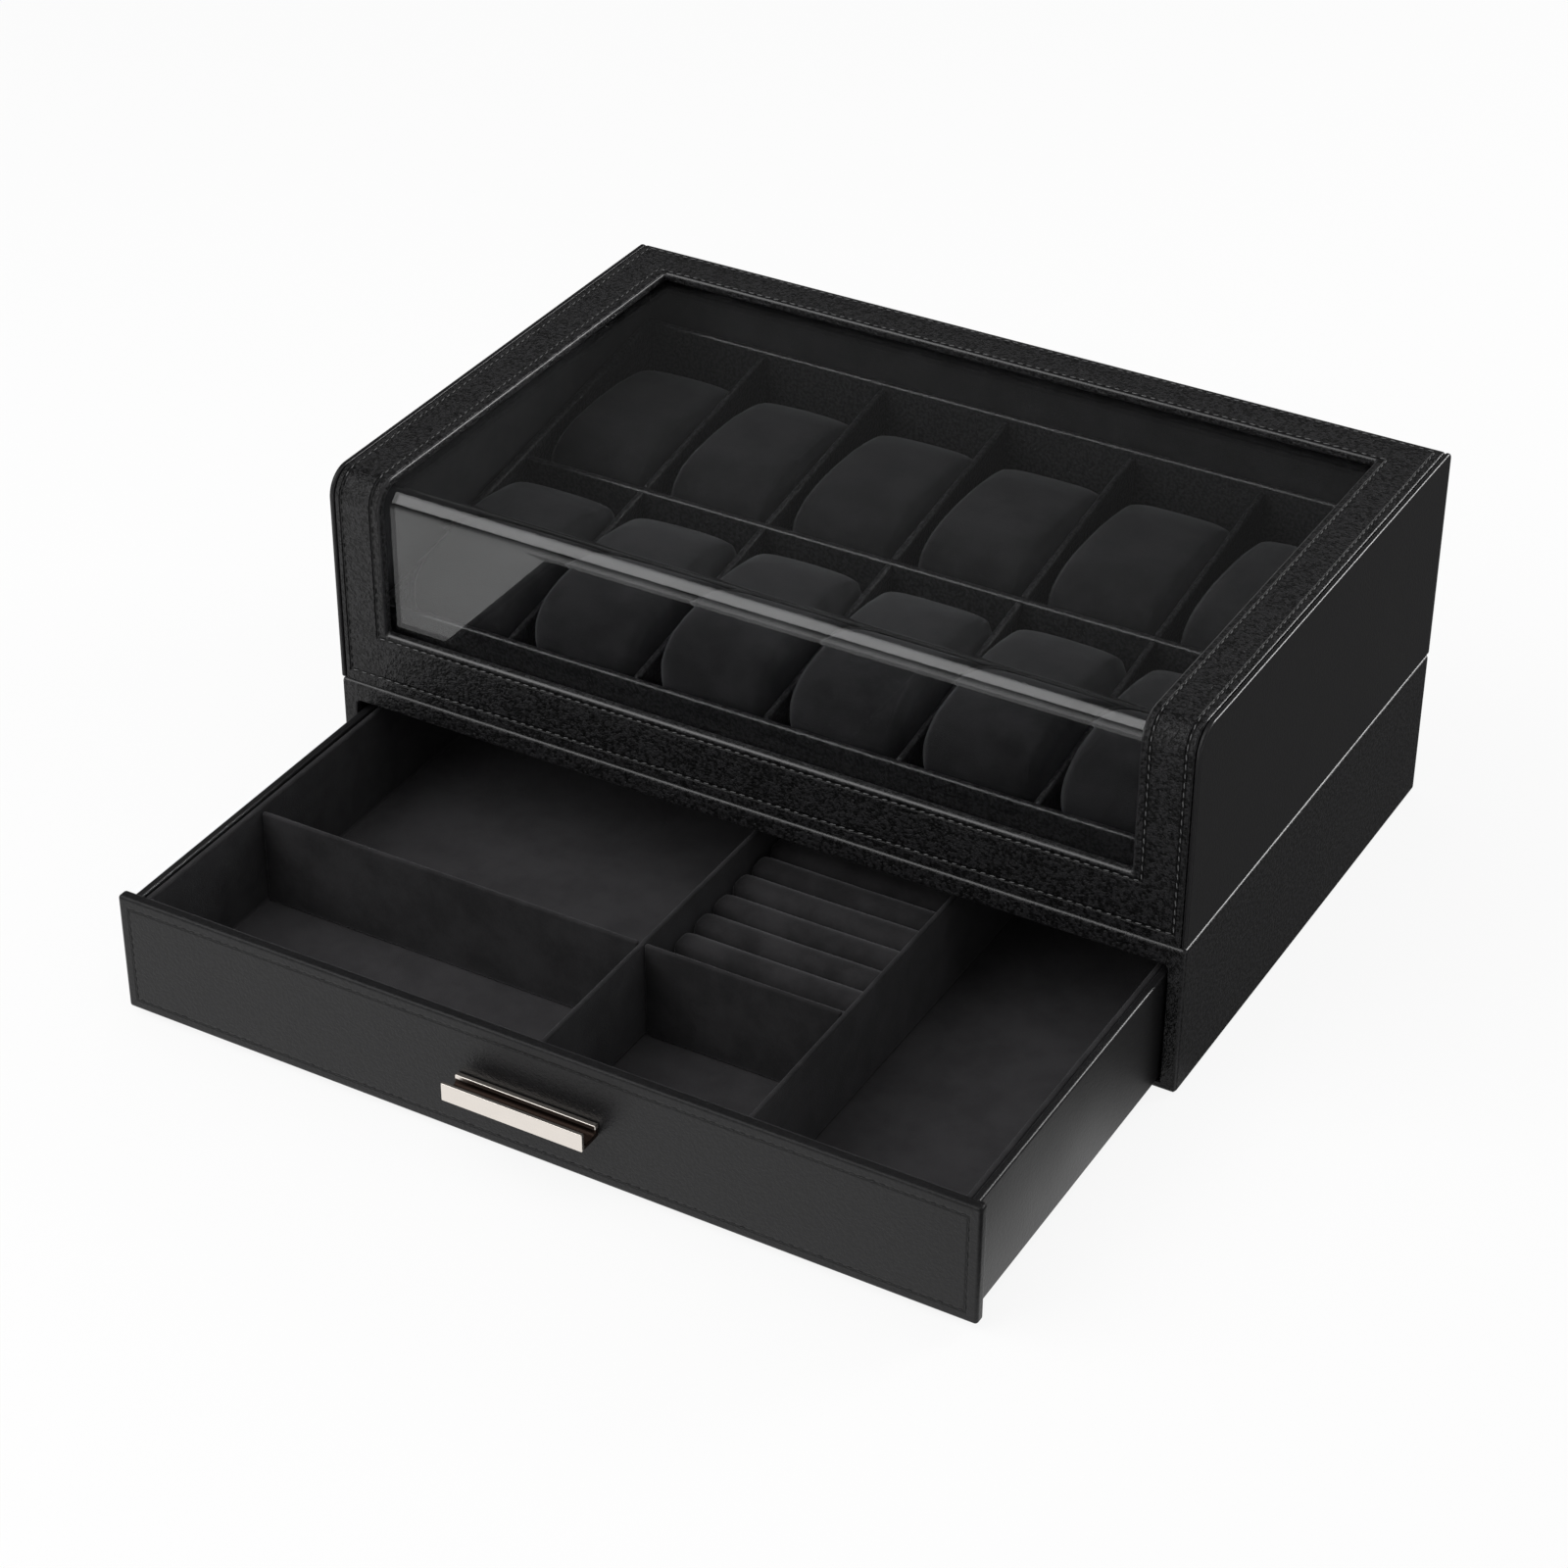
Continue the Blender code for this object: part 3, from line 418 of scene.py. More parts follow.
@dataclass(frozen=True)
class Velvet(Finish):
    """Black flocked velvet with a soft nap."""

    tone: Colour = (0.0150, 0.0148, 0.0155)
    sheen: float = 0.35
    floor_top: float | None = None

    def shader(self, graph: Graph) -> Wire:
        """The velvet's shader."""
        place = graph.place()
        nap = graph.noise(place, 16 * MM, 4.0, 0.6)
        fibre = graph.noise(place, 0.5 * MM, 2.0, 0.7)
        shade = nap.step(0.30, 0.70) * 0.6 + fibre * 0.4
        dark, pale = self.shade(0.55), self.shade(1.6)
        colour = graph.colour(shade, dark, pale)
        if self.floor_top is not None:
            # Painted light: the floor under floor_top is lightened in base colour, standing in for light
            # that the drawer's shaded floor misses.
            floor_painted_light = self.shade(2.2)
            _, _, z = graph.split(place)
            on_floor = z.step(self.floor_top + 1.5 * MM, self.floor_top + 0.5 * MM)
            colour = graph.colour(on_floor * (0.5 + shade * 0.5), colour, floor_painted_light)
        values = {
            "Base Color": colour,
            "Roughness": 0.9 + fibre * 0.1,
            "Specular IOR Level": 0.15,
            "Sheen Weight": self.sheen,
            "Sheen Roughness": 0.42,
            "Sheen Tint": (0.42, 0.42, 0.44, 1.0),
            "Normal": graph.relief(fibre + nap * 0.8, 0.12 * MM),
        }
        return graph.node("ShaderNodeBsdfPrincipled", inputs=values)


@dataclass(frozen=True)
class Felt(Finish):
    """Black pressed felt for the underside."""

    tone: Colour = (0.018, 0.018, 0.019)

    def shader(self, graph: Graph) -> Wire:
        """The felt's shader."""
        place = graph.warp(graph.place(), 3 * MM, 1.2 * MM)
        fibre = graph.noise(place, 1.1 * MM, 5.0, 0.75)
        lint = graph.noise(place, 11 * MM, 3.0)
        dark, pale = self.shade(0.6), self.shade(1.7)
        values = {
            "Base Color": graph.colour(fibre * 0.7 + lint * 0.3, dark, pale),
            "Roughness": 0.92 + fibre * 0.08,
            "Specular IOR Level": 0.1,
            "Normal": graph.relief(fibre, 0.25 * MM),
        }
        return graph.node("ShaderNodeBsdfPrincipled", inputs=values)


@dataclass(frozen=True)
class Pane(Finish):
    """Clear polished acrylic that lets the lamps through."""

    tone: Colour = (0.965, 0.972, 0.975)

    def shader(self, graph: Graph) -> Wire:
        """The pane's shader."""
        smear = graph.noise(graph.place(), 46 * MM, 3.0)
        values = {
            "Base Color": (*self.tone, 1.0),
            "Roughness": smear.step(0.45, 0.85) * 0.035,
            "IOR": 1.49,
            "Transmission Weight": 1.0,
        }
        clear = graph.node("ShaderNodeBsdfPrincipled", inputs=values)
        lamp_light = graph.node("ShaderNodeBsdfTransparent", inputs={"Color": (*self.tone, 1.0)})
        shadow = graph.node("ShaderNodeLightPath", output="Is Shadow Ray")
        return graph.node("ShaderNodeMixShader", inputs={0: shadow, 1: clear, 2: lamp_light})


@dataclass(frozen=True)
class Metal(Finish):
    """A plated metal with a fine brushed line along the box's width.

    Inside the hollow, which runs from a y backwards and from a z downwards, the plating is painted dark
    brown as shade, and made duller.
    """

    roughness: float = 0.36
    brushing: float = 0.10
    hollow: tuple[float, float] | None = None
    hollow_painted_shade: Colour = (0.040, 0.027, 0.022)

    def shader(self, graph: Graph) -> Wire:
        """The metal's shader."""
        drawn = graph.node("ShaderNodeMapping", inputs={"Vector": graph.place(), "Scale": (0.04, 1.0, 1.0)})
        line = graph.noise(drawn, 0.25 * MM, 3.0, 0.7)
        cloud = graph.noise(graph.place(), 7 * MM, 3.0)
        dark, pale = self.shade(0.88), self.shade(1.08)
        colour = graph.colour(line * 0.6 + cloud * 0.4, dark, pale)
        rough = line * self.brushing + cloud * 0.06 + (self.roughness - 0.08)
        if self.hollow is not None:
            front, top = self.hollow
            _, y, z = graph.split(graph.place())
            # Painted shade: the channel's inside is darkened in base colour as shade; its higher roughness
            # is real.
            inside = y.step(front, front + 0.3 * MM) * z.step(top, top - 0.5 * MM)
            colour = graph.colour(inside, colour, self.hollow_painted_shade)
            rough = rough + inside * 0.25
        values = {
            "Base Color": colour,
            "Metallic": 1.0,
            "Roughness": rough,
            "Normal": graph.relief(line, 0.002 * MM),
        }
        return graph.node("ShaderNodeBsdfPrincipled", inputs=values)


@dataclass(frozen=True)
class Thread(Finish):
    """Twisted sewing thread."""

    def shader(self, graph: Graph) -> Wire:
        """The thread's shader."""
        place = graph.place()
        twist = graph.noise(place, 0.4 * MM, 2.0, 0.7)
        wear = graph.noise(place, 14 * MM, 2.0)
        dark, pale = self.shade(0.55), self.shade(1.5)
        values = {
            "Base Color": graph.colour(twist * 0.5 + wear * 0.5, dark, pale),
            "Roughness": 0.55 + twist * 0.2,
            "Normal": graph.relief(twist, 0.05 * MM),
        }
        return graph.node("ShaderNodeBsdfPrincipled", inputs=values)


# Modelling helpers


def clear_selection() -> None:
    """Leaves edit mode and deselects everything."""
    if bpy.context.mode != "OBJECT":
        bpy.ops.object.mode_set(mode="OBJECT")
    bpy.ops.object.select_all(action="DESELECT")


def take(piece: bpy.types.Object) -> None:
    """Makes the piece the only selected object.

    Args:
        piece: The piece.
    """
    clear_selection()
    bpy.context.view_layer.objects.active = piece
    piece.select_set(True)


def settle(piece: bpy.types.Object) -> None:
    """Moves the piece's place into its mesh.

    Args:
        piece: The piece.
    """
    take(piece)
    bpy.ops.object.transform_apply(location=True, rotation=True, scale=True)


def cube(name: str, low: Sequence[float], high: Sequence[float]) -> bpy.types.Object:
    """A cube primitive at its size and place.

    Args:
        name: The piece's name.
        low: Its lowest corner.
        high: Its highest corner.

    Returns:
        The new object.
    """
    clear_selection()
    middle = [(a + b) / 2 for a, b in zip(low, high)]
    bpy.ops.mesh.primitive_cube_add(size=1, location=middle)
    piece = bpy.context.active_object
    piece.name = name
    piece.scale = [b - a for a, b in zip(low, high)]
    settle(piece)
    return piece


def add_object(name: str, data: bpy.types.ID) -> bpy.types.Object:
    """A new object in the scene.

    Args:
        name: Its name.
        data: Its mesh, lamp or camera.

    Returns:
        The object.
    """
    made = bpy.data.objects.new(name, data)
    bpy.context.scene.collection.objects.link(made)
    return made


@contextmanager
def editing(piece: bpy.types.Object, mode: str) -> Iterator[None]:
    """Edit mode on one piece, with nothing selected.

    Args:
        piece: The piece.
        mode: VERT, EDGE or FACE.

    Yields:
        Nothing.
    """
    take(piece)
    bpy.ops.object.mode_set(mode="EDIT")
    bpy.ops.mesh.select_mode(type=mode)
    bpy.ops.mesh.select_all(action="DESELECT")
    yield
    bpy.ops.object.mode_set(mode="OBJECT")


def pick(piece: bpy.types.Object, kind: str, test: Callable[..., bool]) -> None:
    """Selects, in edit mode, only the parts of one kind that pass a test.

    Args:
        piece: The piece.
        kind: verts, edges or faces.
        test: Takes a point, an edge's two ends, or a face's middle and its normal.
    """
    mesh = bmesh.from_edit_mesh(piece.data)
    bpy.ops.mesh.select_all(action="DESELECT")
    for part in getattr(mesh, kind):
        if kind == "verts":
            facts = (part.co,)
        elif kind == "edges":
            facts = tuple(end.co for end in part.verts)
        else:
            facts = (part.calc_center_median(), part.normal)
        part.select_set(test(*facts))
    if kind == "faces":
        mesh.select_flush_mode()
    bmesh.update_edit_mesh(piece.data)


def near(a: float, b: float, slack: float = 0.02 * MM) -> bool:
    """Whether two lengths are the same within a slack."""
    return abs(a - b) < slack


def shift(value: Sequence[float]) -> None:
    """Moves what is selected in edit mode."""
    bpy.ops.transform.translate(value=value)


def extrude(value: Sequence[float]) -> None:
    """Extrudes the selected faces in edit mode."""
    bpy.ops.mesh.extrude_region_move(TRANSFORM_OT_translate={"value": value})


def apply_modifier(piece: bpy.types.Object, kind: str, **settings: object) -> None:
    """Adds a modifier, sets it and applies it.

    Args:
        piece: The piece.
        kind: The modifier's type.
        **settings: Its properties.
    """
    take(piece)
    modifier = piece.modifiers.new(kind.lower(), kind)
    for name, value in settings.items():
        setattr(modifier, name, value)
    bpy.ops.object.modifier_apply(modifier=modifier.name)


def round_edges(piece: bpy.types.Object, radius: float, segments: int = 3, sharp: float = 40.0) -> None:
    """Rounds every edge that is still sharp, and smooths the shading over flat faces.

    Args:
        piece: The piece.
        radius: The radius of the rounding.
        segments: How many faces it has across.
        sharp: The least angle of an edge that is rounded, in degrees.
    """
    apply_modifier(
        piece,
        "BEVEL",
        width=radius,
        segments=segments,
        limit_method="ANGLE",
        angle_limit=math.radians(sharp),
        use_clamp_overlap=False,
    )
    smooth(piece)


def bend_edge(piece: bpy.types.Object, y: float, z: float, radius: float, segments: int) -> None:
    """Rounds the edge that runs along x at one y and z.

    Args:
        piece: The piece.
        y: The edge's y.
        z: The edge's z.
        radius: The radius of the bend.
        segments: How many faces it has across.
    """
    with editing(piece, "EDGE"):
        pick(piece, "edges", lambda *ends: all(near(p.y, y) and near(p.z, z) for p in ends))
        bpy.ops.mesh.bevel(offset=radius, segments=segments, affect="EDGES")


def bent_sheet(name: str, low: Vector, high: Vector, radius: float, segments: int) -> bpy.types.Object:
    """A thin sheet that runs down the front of its box and back along its top.

    Args:
        name: The piece's name.
        low: The box's lowest corner.
        high: The box's highest corner.
        radius: The radius of the bend at the front.
        segments: How many faces the bend has across.

    Returns:
        The sheet.
    """
    piece = cube(name, low, high)
    with editing(piece, "FACE"):
        pick(piece, "faces", lambda middle, normal: normal.y > -0.9 and normal.z < 0.9)
        bpy.ops.mesh.delete(type="FACE")
    bend_edge(piece, low.y, high.z, radius, segments)
    return piece


def write_run(piece: bpy.types.Object, place: Callable[[Vector], tuple[float, float]]) -> None:
    """Writes the UV map that the pressed lines are read from, in metres.

    Args:
        piece: The piece.
        place: Takes a point and gives its place on the run.
    """
    layer = piece.data.uv_layers.new(name=RUN)
    for loop in piece.data.loops:
        layer.data[loop.index].uv = place(piece.data.vertices[loop.vertex_index].co)


def mark_edges(piece: bpy.types.Object, bend: Callable[[Vector], bool] | None = None) -> None:
    """Marks the rounded edges, which the leather's finish reads as stretched and polished, and lightens in
    base colour: partly edge wear, partly a painted highlight.

    Args:
        piece: The piece, whose flat faces lie square to the axes.
        bend: Tells which points lie on a wide bend, where only a face that turns sideways is an edge.
    """
    mesh = piece.data
    marks = [1.0] * len(mesh.vertices)
    for face in mesh.polygons:
        x, y, z = (abs(c) for c in face.normal)
        flat = max(x, y, z) > FLAT_FACE
        if bend is not None and bend(face.center):
            flat = x < 0.2 or x > FLAT_FACE
        if flat:
            for index in face.vertices:
                marks[index] = 0.0
    mesh.attributes.new(EDGE, "FLOAT", "POINT").data.foreach_set("value", marks)


def smooth(piece: bpy.types.Object, angle: float = 50.0) -> None:
    """Smooth shading that keeps flat faces flat.

    Args:
        piece: The piece.
        angle: Edges sharper than this stay sharp, in degrees.
    """
    take(piece)
    bpy.ops.object.shade_smooth_by_angle(angle=math.radians(angle))
    apply_modifier(piece, "WEIGHTED_NORMAL", weight=80, keep_sharp=True)


def join(name: str, pieces: Sequence[bpy.types.Object]) -> bpy.types.Object:
    """Joins pieces that are one thing.

    Args:
        name: The new piece's name.
        pieces: The pieces, of which the first is kept.

    Returns:
        The joined piece.
    """
    take(pieces[0])
    for piece in pieces[1:]:
        piece.select_set(True)
    bpy.ops.object.join()
    pieces[0].name = name
    return pieces[0]


def span(*nodes: str) -> tuple[Vector, Vector]:
    """The box round one or more CAD nodes.

    Args:
        *nodes: Their names.

    Returns:
        The lowest and the highest corner.
    """
    boxes = [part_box(node) for node in nodes]
    low = Vector([min(b[0][i] for b in boxes) for i in range(3)])
    high = Vector([max(b[1][i] for b in boxes) for i in range(3)])
    return low, high


def hand_over(
    piece: bpy.types.Object,
    body: Body,
    slot: Slot,
    material: bpy.types.Material,
    replaced: Sequence[str] = (),
) -> bpy.types.Object:
    """Gives a finished piece its finish, its body and the CAD nodes that it stands for.

    Args:
        piece: The piece.
        body: The body that it rides on.
        slot: The piece's material slot; not used.
        material: Its material.
        replaced: The CAD nodes that it replaces.

    Returns:
        The piece.
    """
    settle(piece)
    piece.data.materials.clear()
    piece.data.materials.append(material)
    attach(piece, body.value)
    if replaced:
        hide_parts(*replaced)
    LOG.info("%s rides on %s, %d faces", piece.name, body.value, len(piece.data.polygons))
    return piece


def dress(node: str, material: bpy.types.Material) -> None:
    """Gives a CAD node that stays visible its material.

    Args:
        node: The node's name.
        material: Its material.
    """
    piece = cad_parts[node]
    piece.data.materials.clear()
    piece.data.materials.append(material)
    LOG.info("%s keeps its CAD shape", node)


def board(
    node: str,
    radius: float,
    body: Body,
    slot: Slot,
    material: bpy.types.Material,
    segments: int = 3,
) -> bpy.types.Object:
    """A wrapped board with rounded edges, in the place of one CAD node.

    Args:
        node: The node that it replaces.
        radius: The rounding of its edges.
        body: The body that it rides on.
        slot: Its material slot.
        material: Its material.
        segments: How many faces the rounding has across.

    Returns:
        The finished piece.
    """
    piece = cube(node + "_wrap", *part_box(node))
    round_edges(piece, radius, segments)
    mark_edges(piece)
    return hand_over(piece, body, slot, material, [node])


# Stitching


@dataclass(frozen=True)
class Seat:
    """A place on a surface: the point, the way the seam runs and the way the surface faces."""

    point: Vector
    along: Vector
    out: Vector


@dataclass
class Stitches:
    """A row of thread stitches that all share one shape."""

    name: str
    length: float = 2.3 * MM
    width: float = 0.42 * MM
    rise: float = 0.22 * MM
    pitch: float = 3.5 * MM
    slant: float = math.radians(6)

    def model(self) -> bpy.types.Object:
        """Models one stitch that lies along x and rises along z.

        Returns:
            The stitch.
        """
        clear_selection()
        lying = (0, math.pi / 2, 0)
        bpy.ops.mesh.primitive_uv_sphere_add(segments=8, ring_count=5, radius=0.5, rotation=lying)
        stitch = bpy.context.active_object
        stitch.name = self.name + "_stitch"
        settle(stitch)
        stitch.scale = (self.length, self.width, 2 * self.rise)
        settle(stitch)
        return stitch

    def sew(self, seats: Sequence[Seat]) -> bpy.types.Object:
        """Copies the stitch to every seat.

        Args:
            seats: Where the stitches go.

        Returns:
            All the stitches as one piece.
        """
        stitch = self.model()
        shape = [v.co.copy() for v in stitch.data.vertices]
        faces = [tuple(p.vertices) for p in stitch.data.polygons]
        points: list[Vector] = []
        polygons: list[tuple[int, ...]] = []
        chance = random.Random(11)
        for seat in seats:
            across = seat.out.cross(seat.along).normalized()
            turn = Matrix((seat.along, across, seat.out)).transposed()
            lean = Matrix.Rotation(self.slant + chance.uniform(-0.08, 0.08), 3, "Z")
            pull = Matrix.Diagonal((chance.uniform(0.8, 1.1), 1, chance.uniform(0.5, 1.1)))
            start = len(points)
            points += [seat.point + turn @ (lean @ (pull @ p)) for p in shape]
            polygons += [tuple(i + start for i in face) for face in faces]
        bpy.data.objects.remove(stitch)
        mesh = bpy.data.meshes.new(self.name)
        mesh.from_pydata(points, [], polygons)
        mesh.shade_smooth()
        return add_object(self.name, mesh)

    def places(self, length: float) -> list[float]:
        """Where the stitches of one straight run lie.

        Args:
            length: The run's length.

        Returns:
            The distance of each stitch's middle from the run's start.
        """
        count = max(1, round(length / self.pitch))
        return [(i + 0.5) * length / count for i in range(count)]


# Case


@dataclass
class Case:
    """The leather-wrapped case with its drawer bay, its deck and its felt underside."""

    edge_radius: float = 1.5 * MM
    mouth_radius: float = 2.4 * MM
    small_radius: float = 0.9 * MM
    wall: float = 6.0 * MM

    def build(self, leather: bpy.types.Material, felt: bpy.types.Material) -> None:
        """Builds and dresses the case.

        Args:
            leather: The leather of the case.
            felt: The felt of the underside.
        """
        nodes = ("case_left_wall", "case_right_wall", "case_back_wall", "deck_panel", "bottom_panel")
        low, high = span(*nodes)
        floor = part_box("bottom_panel")[1].z
        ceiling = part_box("deck_panel")[0].z
        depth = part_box("case_back_wall")[0].y - low.y
        shell = cube("case_shell", low, high)
        with editing(shell, "FACE"):
            pick(shell, "faces", lambda middle, normal: normal.y < -0.9)
            bpy.ops.mesh.inset(thickness=self.wall, depth=0)
        inner_foot, inner_top = low.z + self.wall, high.z - self.wall
        with editing(shell, "VERT"):
            pick(shell, "verts", lambda p: near(p.y, low.y) and near(p.z, inner_foot))
            shift((0, 0, floor - inner_foot))
            pick(shell, "verts", lambda p: near(p.y, low.y) and near(p.z, inner_top))
            shift((0, 0, ceiling - inner_top))
        with editing(shell, "FACE"):
            middle_z = (floor + ceiling) / 2
            pick(shell, "faces", lambda middle, normal: near(middle.y, low.y) and near(middle.z, middle_z))
            extrude((0, depth, 0))
        with editing(shell, "EDGE"):
            pick(
                shell,
                "edges",
                lambda a, b: near(a.z, ceiling) and near(b.z, ceiling) and abs(a.y - b.y) > depth / 2,
            )
            bpy.ops.mesh.bevel(offset=self.mouth_radius, segments=5, affect="EDGES")
            pick(
                shell,
                "edges",
                lambda a, b: (near(a.z, high.z) and near(b.z, high.z))
                or (abs(a.x) > high.x - self.wall / 2 and near(a.x, b.x) and abs(a.z - b.z) > high.z / 2),
            )
            bpy.ops.mesh.bevel(offset=self.edge_radius, segments=4, affect="EDGES")
        round_edges(shell, self.small_radius)
        mark_edges(shell)
        hand_over(shell, Body.CASE, Slot.LEATHER, leather, nodes)
        dress("underside_felt", felt)


# Lid


@dataclass
class LidFrame:
    """The one piece of padded leather round the window, bent over the lid's front edge.

    Each stitching line is given by its x at the sides, its z at the foot and its y at the rear.
    """

    thickness: float = 3.5 * MM
    front_bend: float = 10 * MM
    rear_bend: float = 2.6 * MM
    side_radius: float = 0.8 * MM
    window_radius: float = 1.5 * MM
    slack: float = 0.1 * MM
    bend_faces: int = 12
    inner_line: tuple[float, float, float] = (147.7 * MM, 80.5 * MM, 87.4 * MM)
    outer_line: tuple[float, float, float] = (160.1 * MM, 64.0 * MM, 100.9 * MM)
    nodes: tuple[str, ...] = ("lid_front_rail", "lid_rear_rail", "lid_left_frame", "lid_right_frame")
    low: Vector = field(init=False)
    high: Vector = field(init=False)

    def __post_init__(self) -> None:
        """Reads the lid's corners from the CAD nodes."""
        self.low, self.high = span(*self.nodes)

    @property
    def front_height(self) -> float:
        """How far the flat front face runs before the bend."""
        return self.high.z - self.front_bend - self.low.z

    def run_of(self, y: float, z: float) -> float:
        """How far a point lies along the leather, from the foot of the front to the rear edge.

        Args:
            y: The point's y.
            z: The point's z.

        Returns:
            The distance in metres.
        """
        centre_y, centre_z = self.low.y + self.front_bend, self.high.z - self.front_bend
        if z <= centre_z and y < centre_y:
            return z - self.low.z
        if y >= centre_y:
            return self.front_height + self.front_bend * math.pi / 2 + (y - centre_y)
        return self.front_height + self.front_bend * math.atan2(z - centre_z, centre_y - y)

    def seat(self, x: float, run: float, way: tuple[float, float]) -> Seat:
        """The place on the leather at x and at a distance along the run.

        Args:
            x: Its x.
            run: The distance along the leather.
            way: The seam's direction across and along the leather.

        Returns:
            The place.
        """
        turn = min(max((run - self.front_height) / self.front_bend, 0.0), math.pi / 2)
        out = Vector((0, -math.cos(turn), math.sin(turn)))
        along = Vector((0, math.sin(turn), math.cos(turn)))
        centre = Vector((0, self.low.y + self.front_bend, self.high.z - self.front_bend))
        point = centre + out * self.front_bend
        bend_end = self.front_height + self.front_bend * math.pi / 2
        if run < self.front_height:
            point.z -= self.front_height - run
        elif run > bend_end:
            point.y += run - bend_end
        point.x = x
        return Seat(point, Vector((way[0], 0, 0)) + along * way[1], out)

    def lines(self) -> tuple[PressedLine, ...]:
        """The two stitching lines as rectangles on the leather's run."""
        return tuple(
            PressedLine((-side, foot - self.low.z), (side, self.run_of(rear, self.high.z)))
            for side, foot, rear in (self.inner_line, self.outer_line)
        )

    def build(self, leather: bpy.types.Material, pale: bpy.types.Material, dark: bpy.types.Material) -> None:
        """Builds the frame and its stitching.

        Args:
            leather: The frame's leather, with the same lines.
            pale: The thread of most runs.
            dark: The black thread, given to the left stile's upright part as painted shade on its stitches.
        """
        low, high = self.low, self.high
        window_side = abs(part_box("lid_left_frame")[1].x)
        window_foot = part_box("lid_front_rail")[1].z
        window_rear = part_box("lid_rear_rail")[0].y
        piece = bent_sheet("lid_leather_frame", low, high, self.front_bend, self.bend_faces)
        with editing(piece, "EDGE"):
            cuts = (
                ((-window_side, 0, 0), (1, 0, 0)),
                ((window_side, 0, 0), (1, 0, 0)),
                ((0, 0, window_foot), (0, 0, 1)),
                ((0, window_rear, 0), (0, 1, 0)),
            )
            for place, normal in cuts:
                bpy.ops.mesh.select_all(action="SELECT")
                bpy.ops.mesh.bisect(plane_co=place, plane_no=normal)
        with editing(piece, "FACE"):
            pick(
                piece, "faces",
                lambda middle, normal: abs(middle.x) < window_side
                and middle.z > window_foot
                and middle.y < window_rear,
            )
            bpy.ops.mesh.delete(type="FACE")
        apply_modifier(piece, "SOLIDIFY", thickness=self.thickness, offset=-1, use_even_offset=True)
        bend_edge(piece, high.y, high.z, self.rear_bend, 6)

        def on_rim(*ends: Vector) -> bool:
            """Whether an edge lies on the window's outer rim."""
            if not all(
                self._shows(p)
                and abs(p.x) < window_side + self.slack
                and p.z > window_foot - self.slack
                and p.y < window_rear + self.slack
                for p in ends
            ):
                return False
            sides = near(ends[0].x, ends[1].x) and near(abs(ends[0].x), window_side)
            return (
                sides
                or all(near(p.z, window_foot) for p in ends)
                or all(near(p.y, window_rear) for p in ends)
            )

        with editing(piece, "EDGE"):
            pick(piece, "edges", on_rim)
            bpy.ops.mesh.bevel(offset=self.window_radius, segments=5, affect="EDGES")
        round_edges(piece, self.side_radius, segments=4)
        mark_edges(piece, lambda p: p.y < low.y + self.front_bend and p.z > high.z - self.front_bend)
        write_run(piece, lambda p: (p.x, self.run_of(p.y, p.z)))
        hand_over(piece, Body.LID, Slot.LEATHER, leather, self.nodes)
        self._sew(pale, dark)

    def _shows(self, point: Vector) -> bool:
        """Whether a point lies on the leather's outer face.

        Args:
            point: The point.

        Returns:
            True on the flat front, the bend and the flat top.
        """
        centre_y, centre_z = self.low.y + self.front_bend, self.high.z - self.front_bend
        if point.y < centre_y and point.z > centre_z:
            reach = math.hypot(point.y - centre_y, point.z - centre_z)
            return near(reach, self.front_bend, self.slack)
        return near(point.y, self.low.y) or near(point.z, self.high.z)

    def _sew(self, pale: bpy.types.Material, dark: bpy.types.Material) -> None:
        """Sews both lines.

        Args:
            pale: The thread of most runs.
            dark: The black thread, given to the left stile's upright part as painted shade on its stitches.
        """
        upright = self.front_height + self.front_bend
        for name, line in zip(("lid_window_stitching", "lid_outer_stitching"), self.lines()):
            stitches = Stitches(name)
            (u0, v0), (u1, v1) = line.low, line.high
            seats = [self.seat(u0 + s, v, (1, 0)) for v in (v0, v1) for s in stitches.places(u1 - u0)]
            runs = [(u, v0 + s) for u in (u0, u1) for s in stitches.places(v1 - v0)]
            seats += [self.seat(u, v, (0, 1)) for u, v in runs if u > 0 or v > upright]
            hand_over(stitches.sew(seats), Body.LID, Slot.LEATHER, pale)
            # Painted shade: the left stile's upright stitches are the frame's same thread, given the black
            # thread's colour as shade.
            stitches = Stitches(name + "_left_front")
            seats = [self.seat(u, v, (0, 1)) for u, v in runs if u < 0 and v <= upright]
            hand_over(stitches.sew(seats), Body.LID, Slot.LEATHER, dark)


